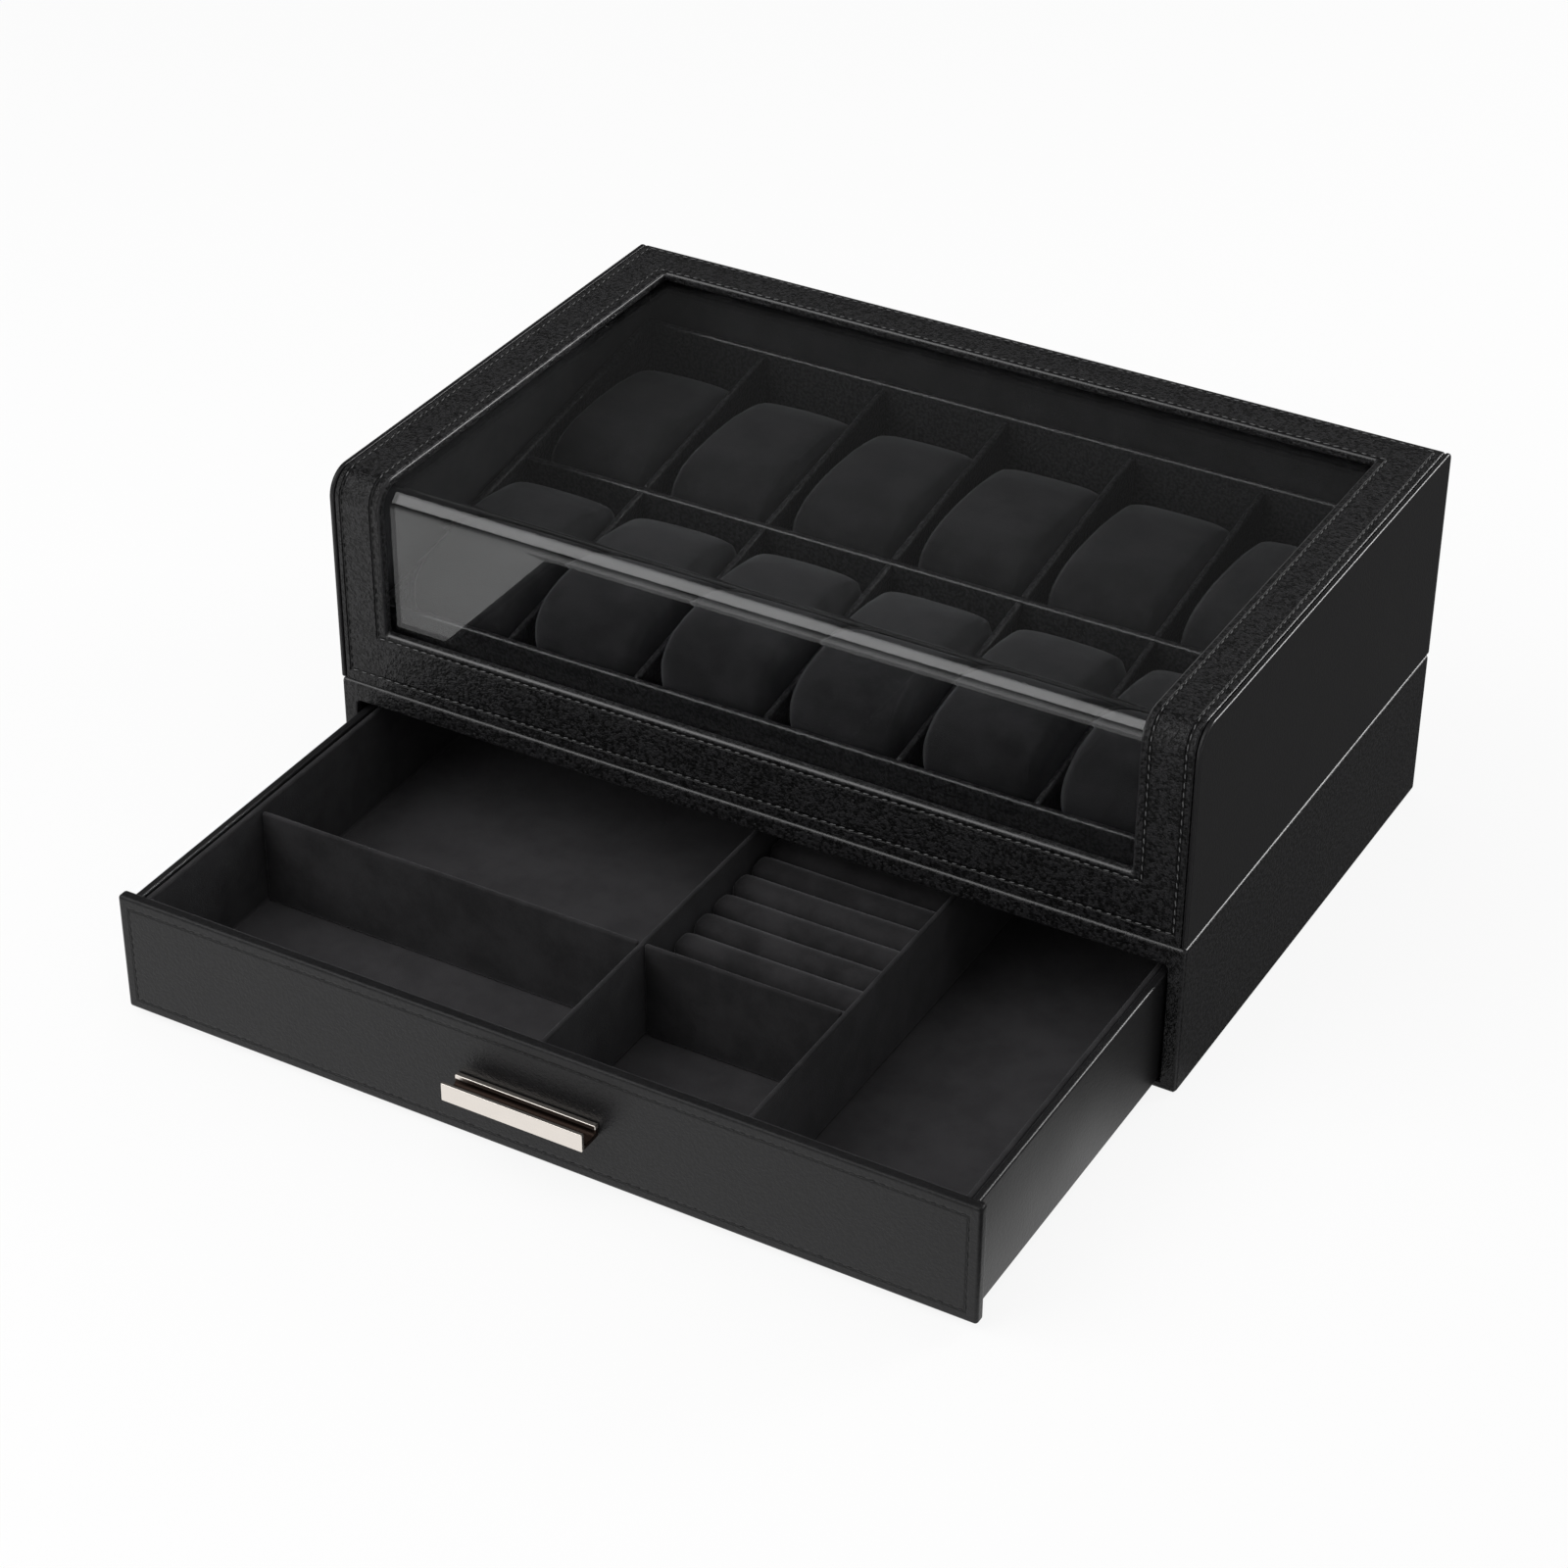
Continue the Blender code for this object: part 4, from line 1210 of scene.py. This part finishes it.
@dataclass
class LidSides:
    """The lid's two smooth side panels, whose skin stands up beside the frame, and its back."""

    front_bend: float = 10 * MM
    rear_bend: float = 2.6 * MM
    skin: float = 1.9 * MM
    frame_thickness: float = 3.8 * MM
    edge_radius: float = 0.8 * MM
    core_radius: float = 0.5 * MM
    back_radius: float = 1.3 * MM

    def build(self, leather: bpy.types.Material) -> None:
        """Builds the side panels and the back.

        Args:
            leather: The smooth leather.
        """
        for side in Side:
            self._side(side, leather)
        board("lid_back_wall", self.back_radius, Body.LID, Slot.LEATHER, leather)

    def _side(self, side: Side, leather: bpy.types.Material) -> None:
        """Builds one side panel.

        Args:
            side: Which side.
            leather: Its leather.
        """
        node = f"lid_{side.word}_side"
        low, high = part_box(node)
        skin_low, skin_high = low.copy(), high.copy()
        core_low, core_high = low.copy(), high.copy()
        if side is Side.LEFT:
            skin_high.x = low.x + self.skin
            core_low.x = skin_high.x - OVERLAP
        else:
            skin_low.x = high.x - self.skin
            core_high.x = skin_low.x + OVERLAP
        panel = cube(node + "_skin", skin_low, skin_high)
        bend_edge(panel, low.y, high.z, self.front_bend, 12)
        bend_edge(panel, high.y, high.z, self.rear_bend, 8)
        round_edges(panel, self.edge_radius, segments=4)
        mark_edges(
            panel,
            lambda p: p.z > high.z - self.front_bend
            and (p.y < low.y + self.front_bend or p.y > high.y - self.rear_bend),
        )
        core_low.y += self.frame_thickness
        core_high.z -= self.frame_thickness
        core = cube(node + "_core", core_low, core_high)
        bend_edge(core, core_low.y, core_high.z, self.front_bend - self.frame_thickness, 8)
        round_edges(core, self.core_radius, segments=2)
        hand_over(join(node + "_panel", [panel, core]), Body.LID, Slot.LEATHER, leather, [node])


@dataclass
class LidGlass:
    """The clear pane, bent over the lid's front edge."""

    bend: float = 8 * MM
    thickness: float = 2.5 * MM
    bend_faces: int = 20

    def build(self, clear: bpy.types.Material) -> None:
        """Builds the pane.

        Args:
            clear: The pane's material.
        """
        piece = bent_sheet("display_glass", *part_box("display_pane"), self.bend, self.bend_faces)
        apply_modifier(piece, "SOLIDIFY", thickness=self.thickness, offset=-1, use_even_offset=True)
        smooth(piece, 30)
        hand_over(piece, Body.LID, Slot.PANE, clear, ["display_pane"])


# Tray


@dataclass
class Tray:
    """The leather-wrapped tray with its sloping rim, its dividers and its velvet floor."""

    rim_radius: float = 1.35 * MM
    divider_radius: float = 1.15 * MM
    slots: int = 6
    drop: float = 1.0 * MM

    def rim_height(self, y: float) -> float:
        """The rim's height at a place from front to back.

        Args:
            y: The place.

        Returns:
            The height.
        """
        front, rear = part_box("tray_front_wall"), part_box("tray_back_wall")
        share = (y - front[0].y) / (rear[1].y - front[0].y)
        return front[1].z + share * (rear[1].z - front[1].z)

    def sloped(self, name: str, low: Vector, high: Vector, drop: float, radius: float) -> bpy.types.Object:
        """A standing board whose top follows the rim.

        Args:
            name: The piece's name.
            low: Its lowest corner.
            high: Its highest corner; its z is not used.
            drop: How far its top is under the rim.
            radius: The rounding of its edges.

        Returns:
            The board.
        """
        tops = {y: self.rim_height(y) - drop for y in (low.y, high.y)}
        piece = cube(name, low, (high.x, high.y, tops[low.y]))
        with editing(piece, "VERT"):
            pick(piece, "verts", lambda p: near(p.y, high.y) and near(p.z, tops[low.y]))
            shift((0, 0, tops[high.y] - tops[low.y]))
        round_edges(piece, radius, segments=4)
        return piece

    def build(self, leather: bpy.types.Material, velvet: bpy.types.Material) -> None:
        """Builds the tray.

        Args:
            leather: The leather of its walls and dividers.
            velvet: The velvet of its floor.
        """
        for side in Side:
            node = f"tray_{side.word}_wall"
            wall = self.sloped(node + "_wrap", *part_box(node), 0, self.rim_radius)
            hand_over(wall, Body.CASE, Slot.LEATHER, leather, [node])
        for node in ("tray_front_wall", "tray_back_wall", "row_divider"):
            board(node, self.divider_radius, Body.CASE, Slot.LEATHER, leather, 4)
        row_low, row_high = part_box("row_divider")
        for number in range(1, self.slots):
            node = f"slot_divider_{number}"
            low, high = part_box(node)
            meet_high = Vector((high.x, row_low.y + OVERLAP, high.z))
            meet_low = Vector((low.x, row_high.y - OVERLAP, low.z))
            halves = [
                self.sloped(node + "_front", low, meet_high, self.drop, self.divider_radius),
                self.sloped(node + "_rear", meet_low, high, self.drop, self.divider_radius),
            ]
            hand_over(join(node + "_wrap", halves), Body.CASE, Slot.LEATHER, leather, [node])
        dress("tray_floor", velvet)


# Soft pieces


@dataclass
class Inflation:
    """A cloth simulation that fills a closed shape until it is taut."""

    voxel: float
    cap: float
    pressure: float = 4.0
    frames: int = 20
    mass: float = 0.1
    quality: int = 6

    def fill(self, piece: bpy.types.Object) -> None:
        """Remeshes a closed piece and inflates it.

        Args:
            piece: The piece, in place.
        """
        take(piece)
        piece.data.remesh_voxel_size = self.voxel
        bpy.ops.object.voxel_remesh()
        cloth = piece.modifiers.new("inflation", "CLOTH")
        cloth.settings.use_pressure = True
        cloth.settings.uniform_pressure_force = self.pressure
        cloth.settings.effector_weights.gravity = 0.0
        cloth.settings.mass = self.mass
        cloth.settings.quality = self.quality
        cloth.point_cache.frame_start = 1
        cloth.point_cache.frame_end = self.frames
        before = [v.co.copy() for v in piece.data.vertices]
        scene = bpy.context.scene
        for number in range(1, self.frames + 1):
            scene.frame_set(number)
        shape = piece.evaluated_get(bpy.context.evaluated_depsgraph_get()).to_mesh()
        after = [v.co.copy() for v in shape.vertices]
        piece.modifiers.remove(cloth)
        for vertex, start, end in zip(piece.data.vertices, before, after):
            move = end - start
            vertex.co = start + move * min(1.0, self.cap / max(move.length, 1e-9))
        scene.frame_set(1)


def fit(piece: bpy.types.Object, low: Vector, high: Vector) -> None:
    """Keeps every point of a soft piece inside its space.

    Args:
        piece: The piece.
        low: The space's lowest corner.
        high: The space's highest corner.
    """
    for vertex in piece.data.vertices:
        vertex.co = Vector([min(max(c, a), b) for c, a, b in zip(vertex.co, low, high)])


@dataclass
class Pillows:
    """The watch pillows: one is inflated, and each slot gets its own copy with its own small unevenness."""

    rows: tuple[str, ...] = ("front", "rear")
    slots: int = 6
    voxel: float = 4 * MM
    start_share: float = 0.95
    seam_share: float = 0.86
    seam_depth: float = 0.55 * MM
    seam_width: float = 0.9 * MM
    unevenness: float = 0.5 * MM
    waves: tuple[float, float, float] = (90, 70, 110)
    swell: float = 3.2 * MM

    def build(self, velvet: bpy.types.Material) -> None:
        """Builds the pillows.

        Args:
            velvet: Their velvet.
        """
        pattern = self._pattern()
        source_low, source_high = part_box("watch_pillow_front_1")
        source = (source_low + source_high) / 2
        chance = random.Random(4)
        for row in self.rows:
            for number in range(1, self.slots + 1):
                node = f"watch_pillow_{row}_{number}"
                low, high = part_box(node)
                pillow = add_object(f"pillow_{row}_{number}", pattern.data.copy())
                centre = (low + high) / 2
                size = high - low
                stretch = Vector([size[i] / (source_high - source_low)[i] for i in range(3)])
                turn = chance.choice((-1, 1))
                phase = [chance.uniform(0, 6) for _ in range(3)]
                for vertex in pillow.data.vertices:
                    p = (vertex.co - source) * stretch
                    p.x, p.y = p.x * turn, p.y * turn
                    across, along, up = (math.sin(c * w + f) for c, w, f in zip(p, self.waves, phase))
                    wave = across * along + up
                    vertex.co = centre + p * (1 - self.unevenness * (0.5 + 0.25 * wave) / (size.z / 2))
                fit(pillow, low, high)
                hand_over(pillow, Body.CASE, Slot.VELVET, velvet, [node])
        bpy.data.objects.remove(pattern)

    def _pattern(self) -> bpy.types.Object:
        """Inflates the pillow that the others are copied from.

        Returns:
            The pillow, in the place of the first one.
        """
        node = "watch_pillow_front_1"
        low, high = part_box(node)
        centre = (low + high) / 2
        pillow = add_object("pillow_pattern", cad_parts[node].data.copy())
        with editing(pillow, "VERT"):
            bpy.ops.mesh.select_all(action="SELECT")
            bpy.ops.mesh.remove_doubles(threshold=0.02 * MM)
        for vertex in pillow.data.vertices:
            vertex.co = centre + (vertex.co - centre) * self.start_share
        Inflation(self.voxel, self.swell).fill(pillow)
        apply_modifier(pillow, "SMOOTH", factor=0.5, iterations=3)
        apply_modifier(pillow, "SUBSURF", levels=1, render_levels=1)
        self._seam(pillow, centre, (high.x - low.x) / 2)
        fit(pillow, low, high)
        take(pillow)
        bpy.ops.object.shade_smooth()
        return pillow

    def _seam(self, pillow: bpy.types.Object, centre: Vector, half: float) -> None:
        """Draws the velvet in along the two seams beside the pillow's ends.

        Args:
            pillow: The pillow.
            centre: Its middle.
            half: Half its width.
        """
        normals = [v.normal.copy() for v in pillow.data.vertices]
        for vertex, normal in zip(pillow.data.vertices, normals):
            away = abs(abs(vertex.co.x - centre.x) - half * self.seam_share)
            vertex.co -= normal * self.seam_depth * math.exp(-((away / self.seam_width) ** 2))


@dataclass
class RingCushion:
    """The ring cushion: soft rolls side by side, one of which is inflated and copied."""

    rolls: int = 10
    voxel: float = 2.5 * MM
    crown_radius: float = 5.2 * MM
    swell: float = 1.0 * MM
    pressure: float = 3.0
    foot_slack: tuple[float, float, float] = (0.8 * MM, 0.5 * MM, 0.3 * MM)
    top_slack: tuple[float, float, float] = (0.8 * MM, 0.5 * MM, 0.6 * MM)
    sink: float = 0.5 * MM

    def build(self, velvet: bpy.types.Material) -> None:
        """Builds the cushion.

        Args:
            velvet: Its velvet.
        """
        low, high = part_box("ring_cushion")
        pitch = (high.y - low.y) / self.rolls
        first_high = Vector((high.x, low.y + pitch, high.z))
        roll = cube("ring_roll", low + Vector(self.foot_slack), first_high - Vector(self.top_slack))
        middle_z = (low.z + high.z) / 2
        with editing(roll, "EDGE"):
            pick(roll, "edges", lambda a, b: min(a.z, b.z) > middle_z and abs(a.x - b.x) > pitch)
            bpy.ops.mesh.bevel(offset=self.crown_radius, segments=6, affect="EDGES")
        Inflation(self.voxel, self.swell, self.pressure).fill(roll)
        apply_modifier(roll, "SMOOTH", factor=0.5, iterations=4)
        apply_modifier(roll, "SUBSURF", levels=1, render_levels=1)
        fit(roll, low, first_high)
        chance = random.Random(9)
        copies = [roll]
        for number in range(1, self.rolls):
            copy = add_object(f"ring_roll_{number}", roll.data.copy())
            lift = chance.uniform(-self.sink, 0.0)
            for vertex in copy.data.vertices:
                raised = (vertex.co.z - low.z) / (high.z - low.z)
                vertex.co.y += number * pitch
                vertex.co.z += lift * raised
            copies.append(copy)
        cushion = join("ring_cushion_rolls", copies)
        take(cushion)
        bpy.ops.object.shade_smooth()
        hand_over(cushion, Body.DRAWER, Slot.VELVET, velvet, ["ring_cushion"])


# Drawer


@dataclass
class Drawer:
    """The drawer: its stitched front, its box and its velvet liner with dividers."""

    front_radius: float = 1.3 * MM
    wall_radius: float = 1.1 * MM
    liner_radius: float = 0.9 * MM
    divider_radius: float = 0.85 * MM
    line_inset: float = 4.2 * MM

    def line(self) -> PressedLine:
        """The stitching line on the drawer's front, as a rectangle in x and z."""
        low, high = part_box("drawer_front")
        inset = self.line_inset
        return PressedLine((low.x + inset, low.z + inset), (high.x - inset, high.z - inset))

    def build(
        self,
        front_leather: bpy.types.Material,
        leather: bpy.types.Material,
        velvet: bpy.types.Material,
        thread: bpy.types.Material,
        steel: bpy.types.Material,
    ) -> None:
        """Builds the drawer.

        Args:
            front_leather: The leather of the front, with its stitching line.
            leather: The leather of the box.
            velvet: The lining.
            thread: The thread of the front's stitching.
            steel: The screws' metal.
        """
        self._front(front_leather, thread)
        for node in ("drawer_left_side", "drawer_right_side", "drawer_back"):
            board(node, self.wall_radius, Body.DRAWER, Slot.LEATHER, leather, 4)
        dress("drawer_bottom", leather)
        self._liner(velvet)
        for word in ("left_long", "right_long", "left_cross", "middle_cross"):
            board(f"drawer_{word}_divider", self.divider_radius, Body.DRAWER, Slot.VELVET, velvet, 4)
        for side in Side:
            dress(f"pull_screw_{side.word}", steel)

    def _front(self, leather: bpy.types.Material, thread: bpy.types.Material) -> None:
        """Builds the padded front and its stitching.

        Args:
            leather: Its leather.
            thread: Its thread.
        """
        low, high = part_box("drawer_front")
        front = cube("drawer_front_panel", low, high)
        round_edges(front, self.front_radius, segments=5)
        write_run(front, lambda p: (p.x, p.z))
        hand_over(front, Body.DRAWER, Slot.LEATHER, leather, ["drawer_front"])
        line = self.line()
        (u0, v0), (u1, v1) = line.low, line.high
        stitches = Stitches("drawer_front_stitching", rise=0.18 * MM)
        right, up, out = Vector((1, 0, 0)), Vector((0, 0, 1)), Vector((0, -1, 0))
        places = [(u0 + s, z, right) for z in (v0, v1) for s in stitches.places(u1 - u0)]
        places += [(x, v0 + s, up) for x in (u0, u1) for s in stitches.places(v1 - v0)]
        seats = [Seat(Vector((x, low.y, z)), way, out) for x, z, way in places]
        hand_over(stitches.sew(seats), Body.DRAWER, Slot.LEATHER, thread)

    def _liner(self, velvet: bpy.types.Material) -> None:
        """Builds the velvet liner as one open tray.

        Args:
            velvet: Its velvet.
        """
        low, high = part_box("drawer_liner")
        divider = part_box("drawer_left_cross_divider")
        wall = divider[0].x - low.x - SEAT_GAP
        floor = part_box("drawer_left_long_divider")[0].z - SEAT_GAP
        liner = cube("drawer_liner_tray", low, high)
        with editing(liner, "FACE"):
            pick(liner, "faces", lambda middle, normal: normal.z > 0.9)
            bpy.ops.mesh.inset(thickness=wall, depth=0)
            extrude((0, 0, floor - high.z))
        round_edges(liner, self.liner_radius, segments=4)
        hand_over(liner, Body.DRAWER, Slot.VELVET, velvet, ["drawer_liner"])


@dataclass
class Pull:
    """The channel-shaped metal pull."""

    wall: float = 1.5 * MM
    flange: float = 2.0 * MM
    flange_height: float = 4.9 * MM
    hollow_radius: float = 1.3 * MM
    edge_radius: float = 0.32 * MM

    def hollow(self) -> tuple[float, float]:
        """Where the channel's shaded inside starts: the y of its front and the z of its top."""
        low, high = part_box("drawer_pull")
        return low.y + self.wall - 0.2 * MM, low.z + self.flange_height - 1.1 * MM

    def build(self, nickel: bpy.types.Material) -> None:
        """Builds the pull.

        Args:
            nickel: Its metal.
        """
        low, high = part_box("drawer_pull")
        web_top = low.z + self.wall
        lip_back = low.y + self.wall
        flange_front = high.y - self.flange
        pull = cube("drawer_pull_channel", low, (high.x, high.y, web_top))
        with editing(pull, "FACE"):
            for y in (lip_back, flange_front):
                bpy.ops.mesh.select_all(action="SELECT")
                bpy.ops.mesh.bisect(plane_co=(0, y, 0), plane_no=(0, 1, 0))
            pick(pull, "faces", lambda middle, normal: normal.z > 0.9 and middle.y < lip_back)
            extrude((0, 0, high.z - web_top))
            pick(pull, "faces", lambda middle, normal: normal.z > 0.9 and middle.y > flange_front)
            extrude((0, 0, low.z + self.flange_height - web_top))
        with editing(pull, "EDGE"):
            pick(
                pull,
                "edges",
                lambda a, b: near(a.z, web_top)
                and near(b.z, web_top)
                and near(a.y, b.y)
                and (near(a.y, lip_back) or near(a.y, flange_front)),
            )
            bpy.ops.mesh.bevel(offset=self.hollow_radius, segments=5, affect="EDGES")
        round_edges(pull, self.edge_radius, segments=3)
        hand_over(pull, Body.DRAWER, Slot.NICKEL, nickel, ["drawer_pull"])


# Hinges


@dataclass
class Hinges:
    """The two butt hinges: their CAD leaves and pins, and the screws in them."""

    screw_radius: float = 2.1 * MM
    screw_rise: float = 0.55 * MM
    screw_spread: float = 9.5 * MM
    screw_height: float = 7.6 * MM
    slot_width: float = 0.55 * MM
    slot_depth: float = 0.3 * MM
    sink: float = 0.1 * MM
    pin_radius: float = 1.2 * MM
    leaf_thickness: float = 1.2 * MM

    def build(self, steel: bpy.types.Material) -> None:
        """Dresses the hinges and adds their screws.

        Args:
            steel: The hinges' metal.
        """
        for side in Side:
            for leaf in ("case_leaf", "lid_leaf", "pin"):
                dress(f"hinge_{side.word}_{leaf}", steel)
            self._screws(side, "case_leaf", Body.CASE, -1, steel)
            self._screws(side, "lid_leaf", Body.LID, 1, steel)

    def _screws(self, side: Side, leaf: str, body: Body, up: int, steel: bpy.types.Material) -> None:
        """Adds the two screws of one leaf.

        Args:
            side: Which hinge.
            leaf: Which leaf.
            body: The body that the leaf rides on.
            up: 1 for the leaf above the pin, -1 for the one under it.
            steel: The screws' metal.
        """
        low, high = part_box(f"hinge_{side.word}_{leaf}")
        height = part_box(f"hinge_{side.word}_pin")[0].z + self.pin_radius + up * self.screw_height
        face = low.y + self.leaf_thickness
        heads = []
        for way in (-1, 1):
            x = (low.x + high.x) / 2 + way * self.screw_spread
            heads.append(self._head(Vector((x, face, height)), 0.5 * way + up))
        name = f"hinge_{side.word}_{leaf}_screws"
        hand_over(join(name, heads), body, Slot.STEEL, steel)

    def _head(self, place: Vector, turn: float) -> bpy.types.Object:
        """Models one slotted screw head that faces backwards.

        Args:
            place: The middle of its foot.
            turn: How far its slot is turned.

        Returns:
            The head.
        """
        clear_selection()
        middle = place + Vector((0, self.screw_rise / 2 - self.sink, 0))
        bpy.ops.mesh.primitive_cylinder_add(
            vertices=24,
            radius=self.screw_radius,
            depth=self.screw_rise + 2 * self.sink,
            location=middle,
            rotation=(math.pi / 2, 0, 0),
        )
        head = bpy.context.active_object
        settle(head)
        top = middle.y + self.screw_rise / 2 + self.sink
        reach, half = self.screw_radius * 1.2, self.slot_width / 2
        slot = cube(
            "screw_slot",
            (place.x - reach, top - self.slot_depth, place.z - half),
            (place.x + reach, top + 1 * MM, place.z + half),
        )
        turned = Matrix.Translation(place) @ Matrix.Rotation(turn, 4, "Y") @ Matrix.Translation(-place)
        slot.data.transform(turned)
        apply_modifier(head, "BOOLEAN", operation="DIFFERENCE", object=slot)
        bpy.data.objects.remove(slot)
        round_edges(head, 0.12 * MM, segments=2)
        return head


# Lid lining


@dataclass
class LidLining:
    """The velvet boards inside the lid."""

    radius: float = 0.45 * MM

    def build(self, velvet: bpy.types.Material) -> None:
        """Builds the lining.

        Args:
            velvet: Its velvet.
        """
        for word in ("left", "right", "back"):
            board(f"lid_{word}_lining", self.radius, Body.LID, Slot.VELVET, velvet)


# Studio


@dataclass(frozen=True)
class Lamp:
    """A softbox: where it stands from the box, how large it is and how strong."""

    name: str
    direction: Vector
    distance: float
    size: tuple[float, float]
    power: float

    def build(self, target: Vector) -> None:
        """Places the lamp so that it faces the target.

        Args:
            target: The point that it faces.
        """
        data = bpy.data.lights.new(self.name, "AREA")
        data.shape = "RECTANGLE"
        data.size, data.size_y = self.size
        data.energy = self.power
        lamp = add_object(self.name, data)
        way = self.direction.normalized()
        lamp.location = target + way * self.distance
        lamp.rotation_euler = way.to_track_quat("Z", "Y").to_euler()
        lamp.visible_camera = False


@dataclass
class Studio:
    """The plain pale studio and the camera at the photograph's angle.

    A glossy ray sees the floor bright only in front of the box and the room bright only near the horizon.
    """

    camera_place: tuple[float, float, float] = (0.54307, -1.03485, 0.79236)
    camera_turn: tuple[float, float, float] = (0.97916, -0.004023, 0.517848)
    lens: float = 88.35
    sensor: float = 36.0
    target: tuple[float, float, float] = (0.0, -0.05, 0.06)
    lamps: tuple[Lamp, ...] = (
        Lamp("key_softbox", Vector((-0.47, -0.54, 0.70)), 1.5, (1.45, 1.1), 11.0),
        Lamp("rim_strip", Vector((0.58, 0.72, 0.34)), 1.5, (0.50, 0.38), 6.0),
        Lamp("overhead_softbox", Vector((0.15, -0.05, 1.0)), 1.6, (0.9, 0.9), 2.6),
    )
    floor_half: float = 6.0
    floor_drop: float = 0.1 * MM
    floor_tone: float = 0.88
    floor_light: float = 1.03
    floor_glow: float = 0.86
    mirrored_loss: float = 0.93
    bright_from_y: tuple[float, float] = (-0.08, -0.15)
    bright_until_x: tuple[float, float] = (0.195, 0.160)
    room_light: float = 0.36
    horizon: float = 0.30
    mirrored_room: tuple[float, float] = (0.05, 0.50)

    def build(self) -> None:
        """Builds the floor, the lamps, the world and the camera."""
        self._floor()
        for lamp in self.lamps:
            lamp.build(Vector(self.target))
        self._world()
        self._camera()
        bpy.context.scene.view_settings.view_transform = "Standard"

    def _seen(self, graph: Graph) -> Wire:
        """1 for rays that show the background: straight to the camera, mirrored, or through the pane."""
        rays = [
            graph.node("ShaderNodeLightPath", output=name)
            for name in ("Is Camera Ray", "Is Glossy Ray", "Is Transmission Ray")
        ]
        return rays[0].larger(rays[1]).larger(rays[2])

    def _floor(self) -> None:
        """Builds the pale floor, which keeps the box's shadow."""
        clear_selection()
        bpy.ops.mesh.primitive_plane_add(size=2 * self.floor_half, location=(0, 0, -self.floor_drop))
        floor = bpy.context.active_object
        floor.name = "studio_floor"
        material = bpy.data.materials.new("pale_floor")
        material.use_nodes = True
        graph = Graph(material.node_tree)
        tone = (self.floor_tone,) * 3
        paper = graph.node("ShaderNodeBsdfDiffuse", inputs={"Color": (*tone, 1.0)})
        mirrored = graph.node("ShaderNodeLightPath", output="Is Glossy Ray")
        x, y, _ = graph.split(graph.place())
        front = y.step(*self.bright_from_y) * x.step(*self.bright_until_x)
        level = self.floor_light - mirrored * (1 - front) * self.mirrored_loss
        glow = graph.node("ShaderNodeEmission", inputs={"Color": WHITE, "Strength": level})
        share = self._seen(graph) * self.floor_glow + mirrored * (1 - self.floor_glow)
        graph.show(graph.node("ShaderNodeMixShader", inputs={0: share, 1: paper, 2: glow}))
        floor.data.materials.append(material)

    def _world(self) -> None:
        """Lights the room softly and keeps the background white where it is seen."""
        world = bpy.data.worlds.new("studio_world")
        world.use_nodes = True
        bpy.context.scene.world = world
        graph = Graph(world.node_tree, "ShaderNodeOutputWorld")
        straight = graph.node("ShaderNodeLightPath", output="Is Camera Ray")
        mirrored = graph.node("ShaderNodeLightPath", output="Is Glossy Ray").larger(
            graph.node("ShaderNodeLightPath", output="Is Transmission Ray")
        )
        height = graph.split(graph.node("ShaderNodeTexCoord", output="Generated"))[2]
        overhead, at_horizon = self.mirrored_room
        ceiling = height.step(self.horizon, 0.0) * at_horizon + overhead
        strength = straight.larger(mirrored * ceiling)
        lit = strength + (1 - straight.larger(mirrored)) * self.room_light
        inputs = {"Color": WHITE, "Strength": lit}
        graph.show(graph.node("ShaderNodeBackground", inputs=inputs))

    def _camera(self) -> None:
        """Places the camera."""
        data = bpy.data.cameras.new("photo_camera")
        data.lens = self.lens
        data.sensor_width = self.sensor
        camera = add_object("photo_camera", data)
        camera.location = self.camera_place
        camera.rotation_euler = self.camera_turn
        bpy.context.scene.camera = camera


def main() -> None:
    """Builds every sub-assembly in order."""
    logging.basicConfig(level=logging.INFO, format="%(name)s: %(message)s")
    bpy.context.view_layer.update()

    frame_maker = LidFrame()
    drawer = Drawer()
    pull = Pull()
    frame_leather = Leather("pebbled_frame_leather", lines=frame_maker.lines()).material()
    skin_seam = 163.6 * MM
    case_leather = Leather("case_leather", smooth_beyond=skin_seam).material()
    side_leather = Leather(
        "smooth_side_leather", grain_depth=0.03 * MM, roughness=0.42, shine=0.35, speckle=0.12
    ).material()
    front_leather = Leather(
        "drawer_front_leather",
        grain_depth=0.05 * MM,
        roughness=0.40,
        shine=0.26,
        speckle=0.15,
        lines=(drawer.line(),),
    ).material()
    tray_leather = Leather("tray_leather", grain_depth=0.14 * MM, roughness=0.44).material()
    velvet = Velvet("tray_velvet").material()
    drawer_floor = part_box("drawer_left_cross_divider")[0].z
    # Painted light: the drawer's velvet is a lighter copy of the tray's black velvet, standing in for the
    # light on the drawer's open inside.
    drawer_velvet = Velvet(
        "drawer_velvet", tone=(0.0240, 0.0232, 0.0245), sheen=0.5, floor_top=drawer_floor
    ).material()
    pale_thread = Thread("grey_thread", (0.15, 0.15, 0.153)).material()
    black_and_shaded_thread = Thread("black_thread", (0.012, 0.012, 0.013)).material()
    nickel = Metal("champagne_nickel_plate", (0.80, 0.745, 0.69), 0.30, hollow=pull.hollow()).material()
    steel = Metal("hinge_plate", (0.55, 0.55, 0.56)).material()

    Case().build(case_leather, Felt("underside_black_felt").material())
    frame_maker.build(frame_leather, pale_thread, black_and_shaded_thread)
    LidSides().build(side_leather)
    LidGlass().build(Pane("clear_acrylic").material())
    LidLining().build(velvet)
    Hinges().build(steel)
    Tray().build(tray_leather, velvet)
    Pillows().build(velvet)
    drawer.build(front_leather, side_leather, drawer_velvet, black_and_shaded_thread, steel)
    RingCushion().build(drawer_velvet)
    pull.build(nickel)
    Studio().build()
    clear_selection()


if __name__ == "__main__":
    main()
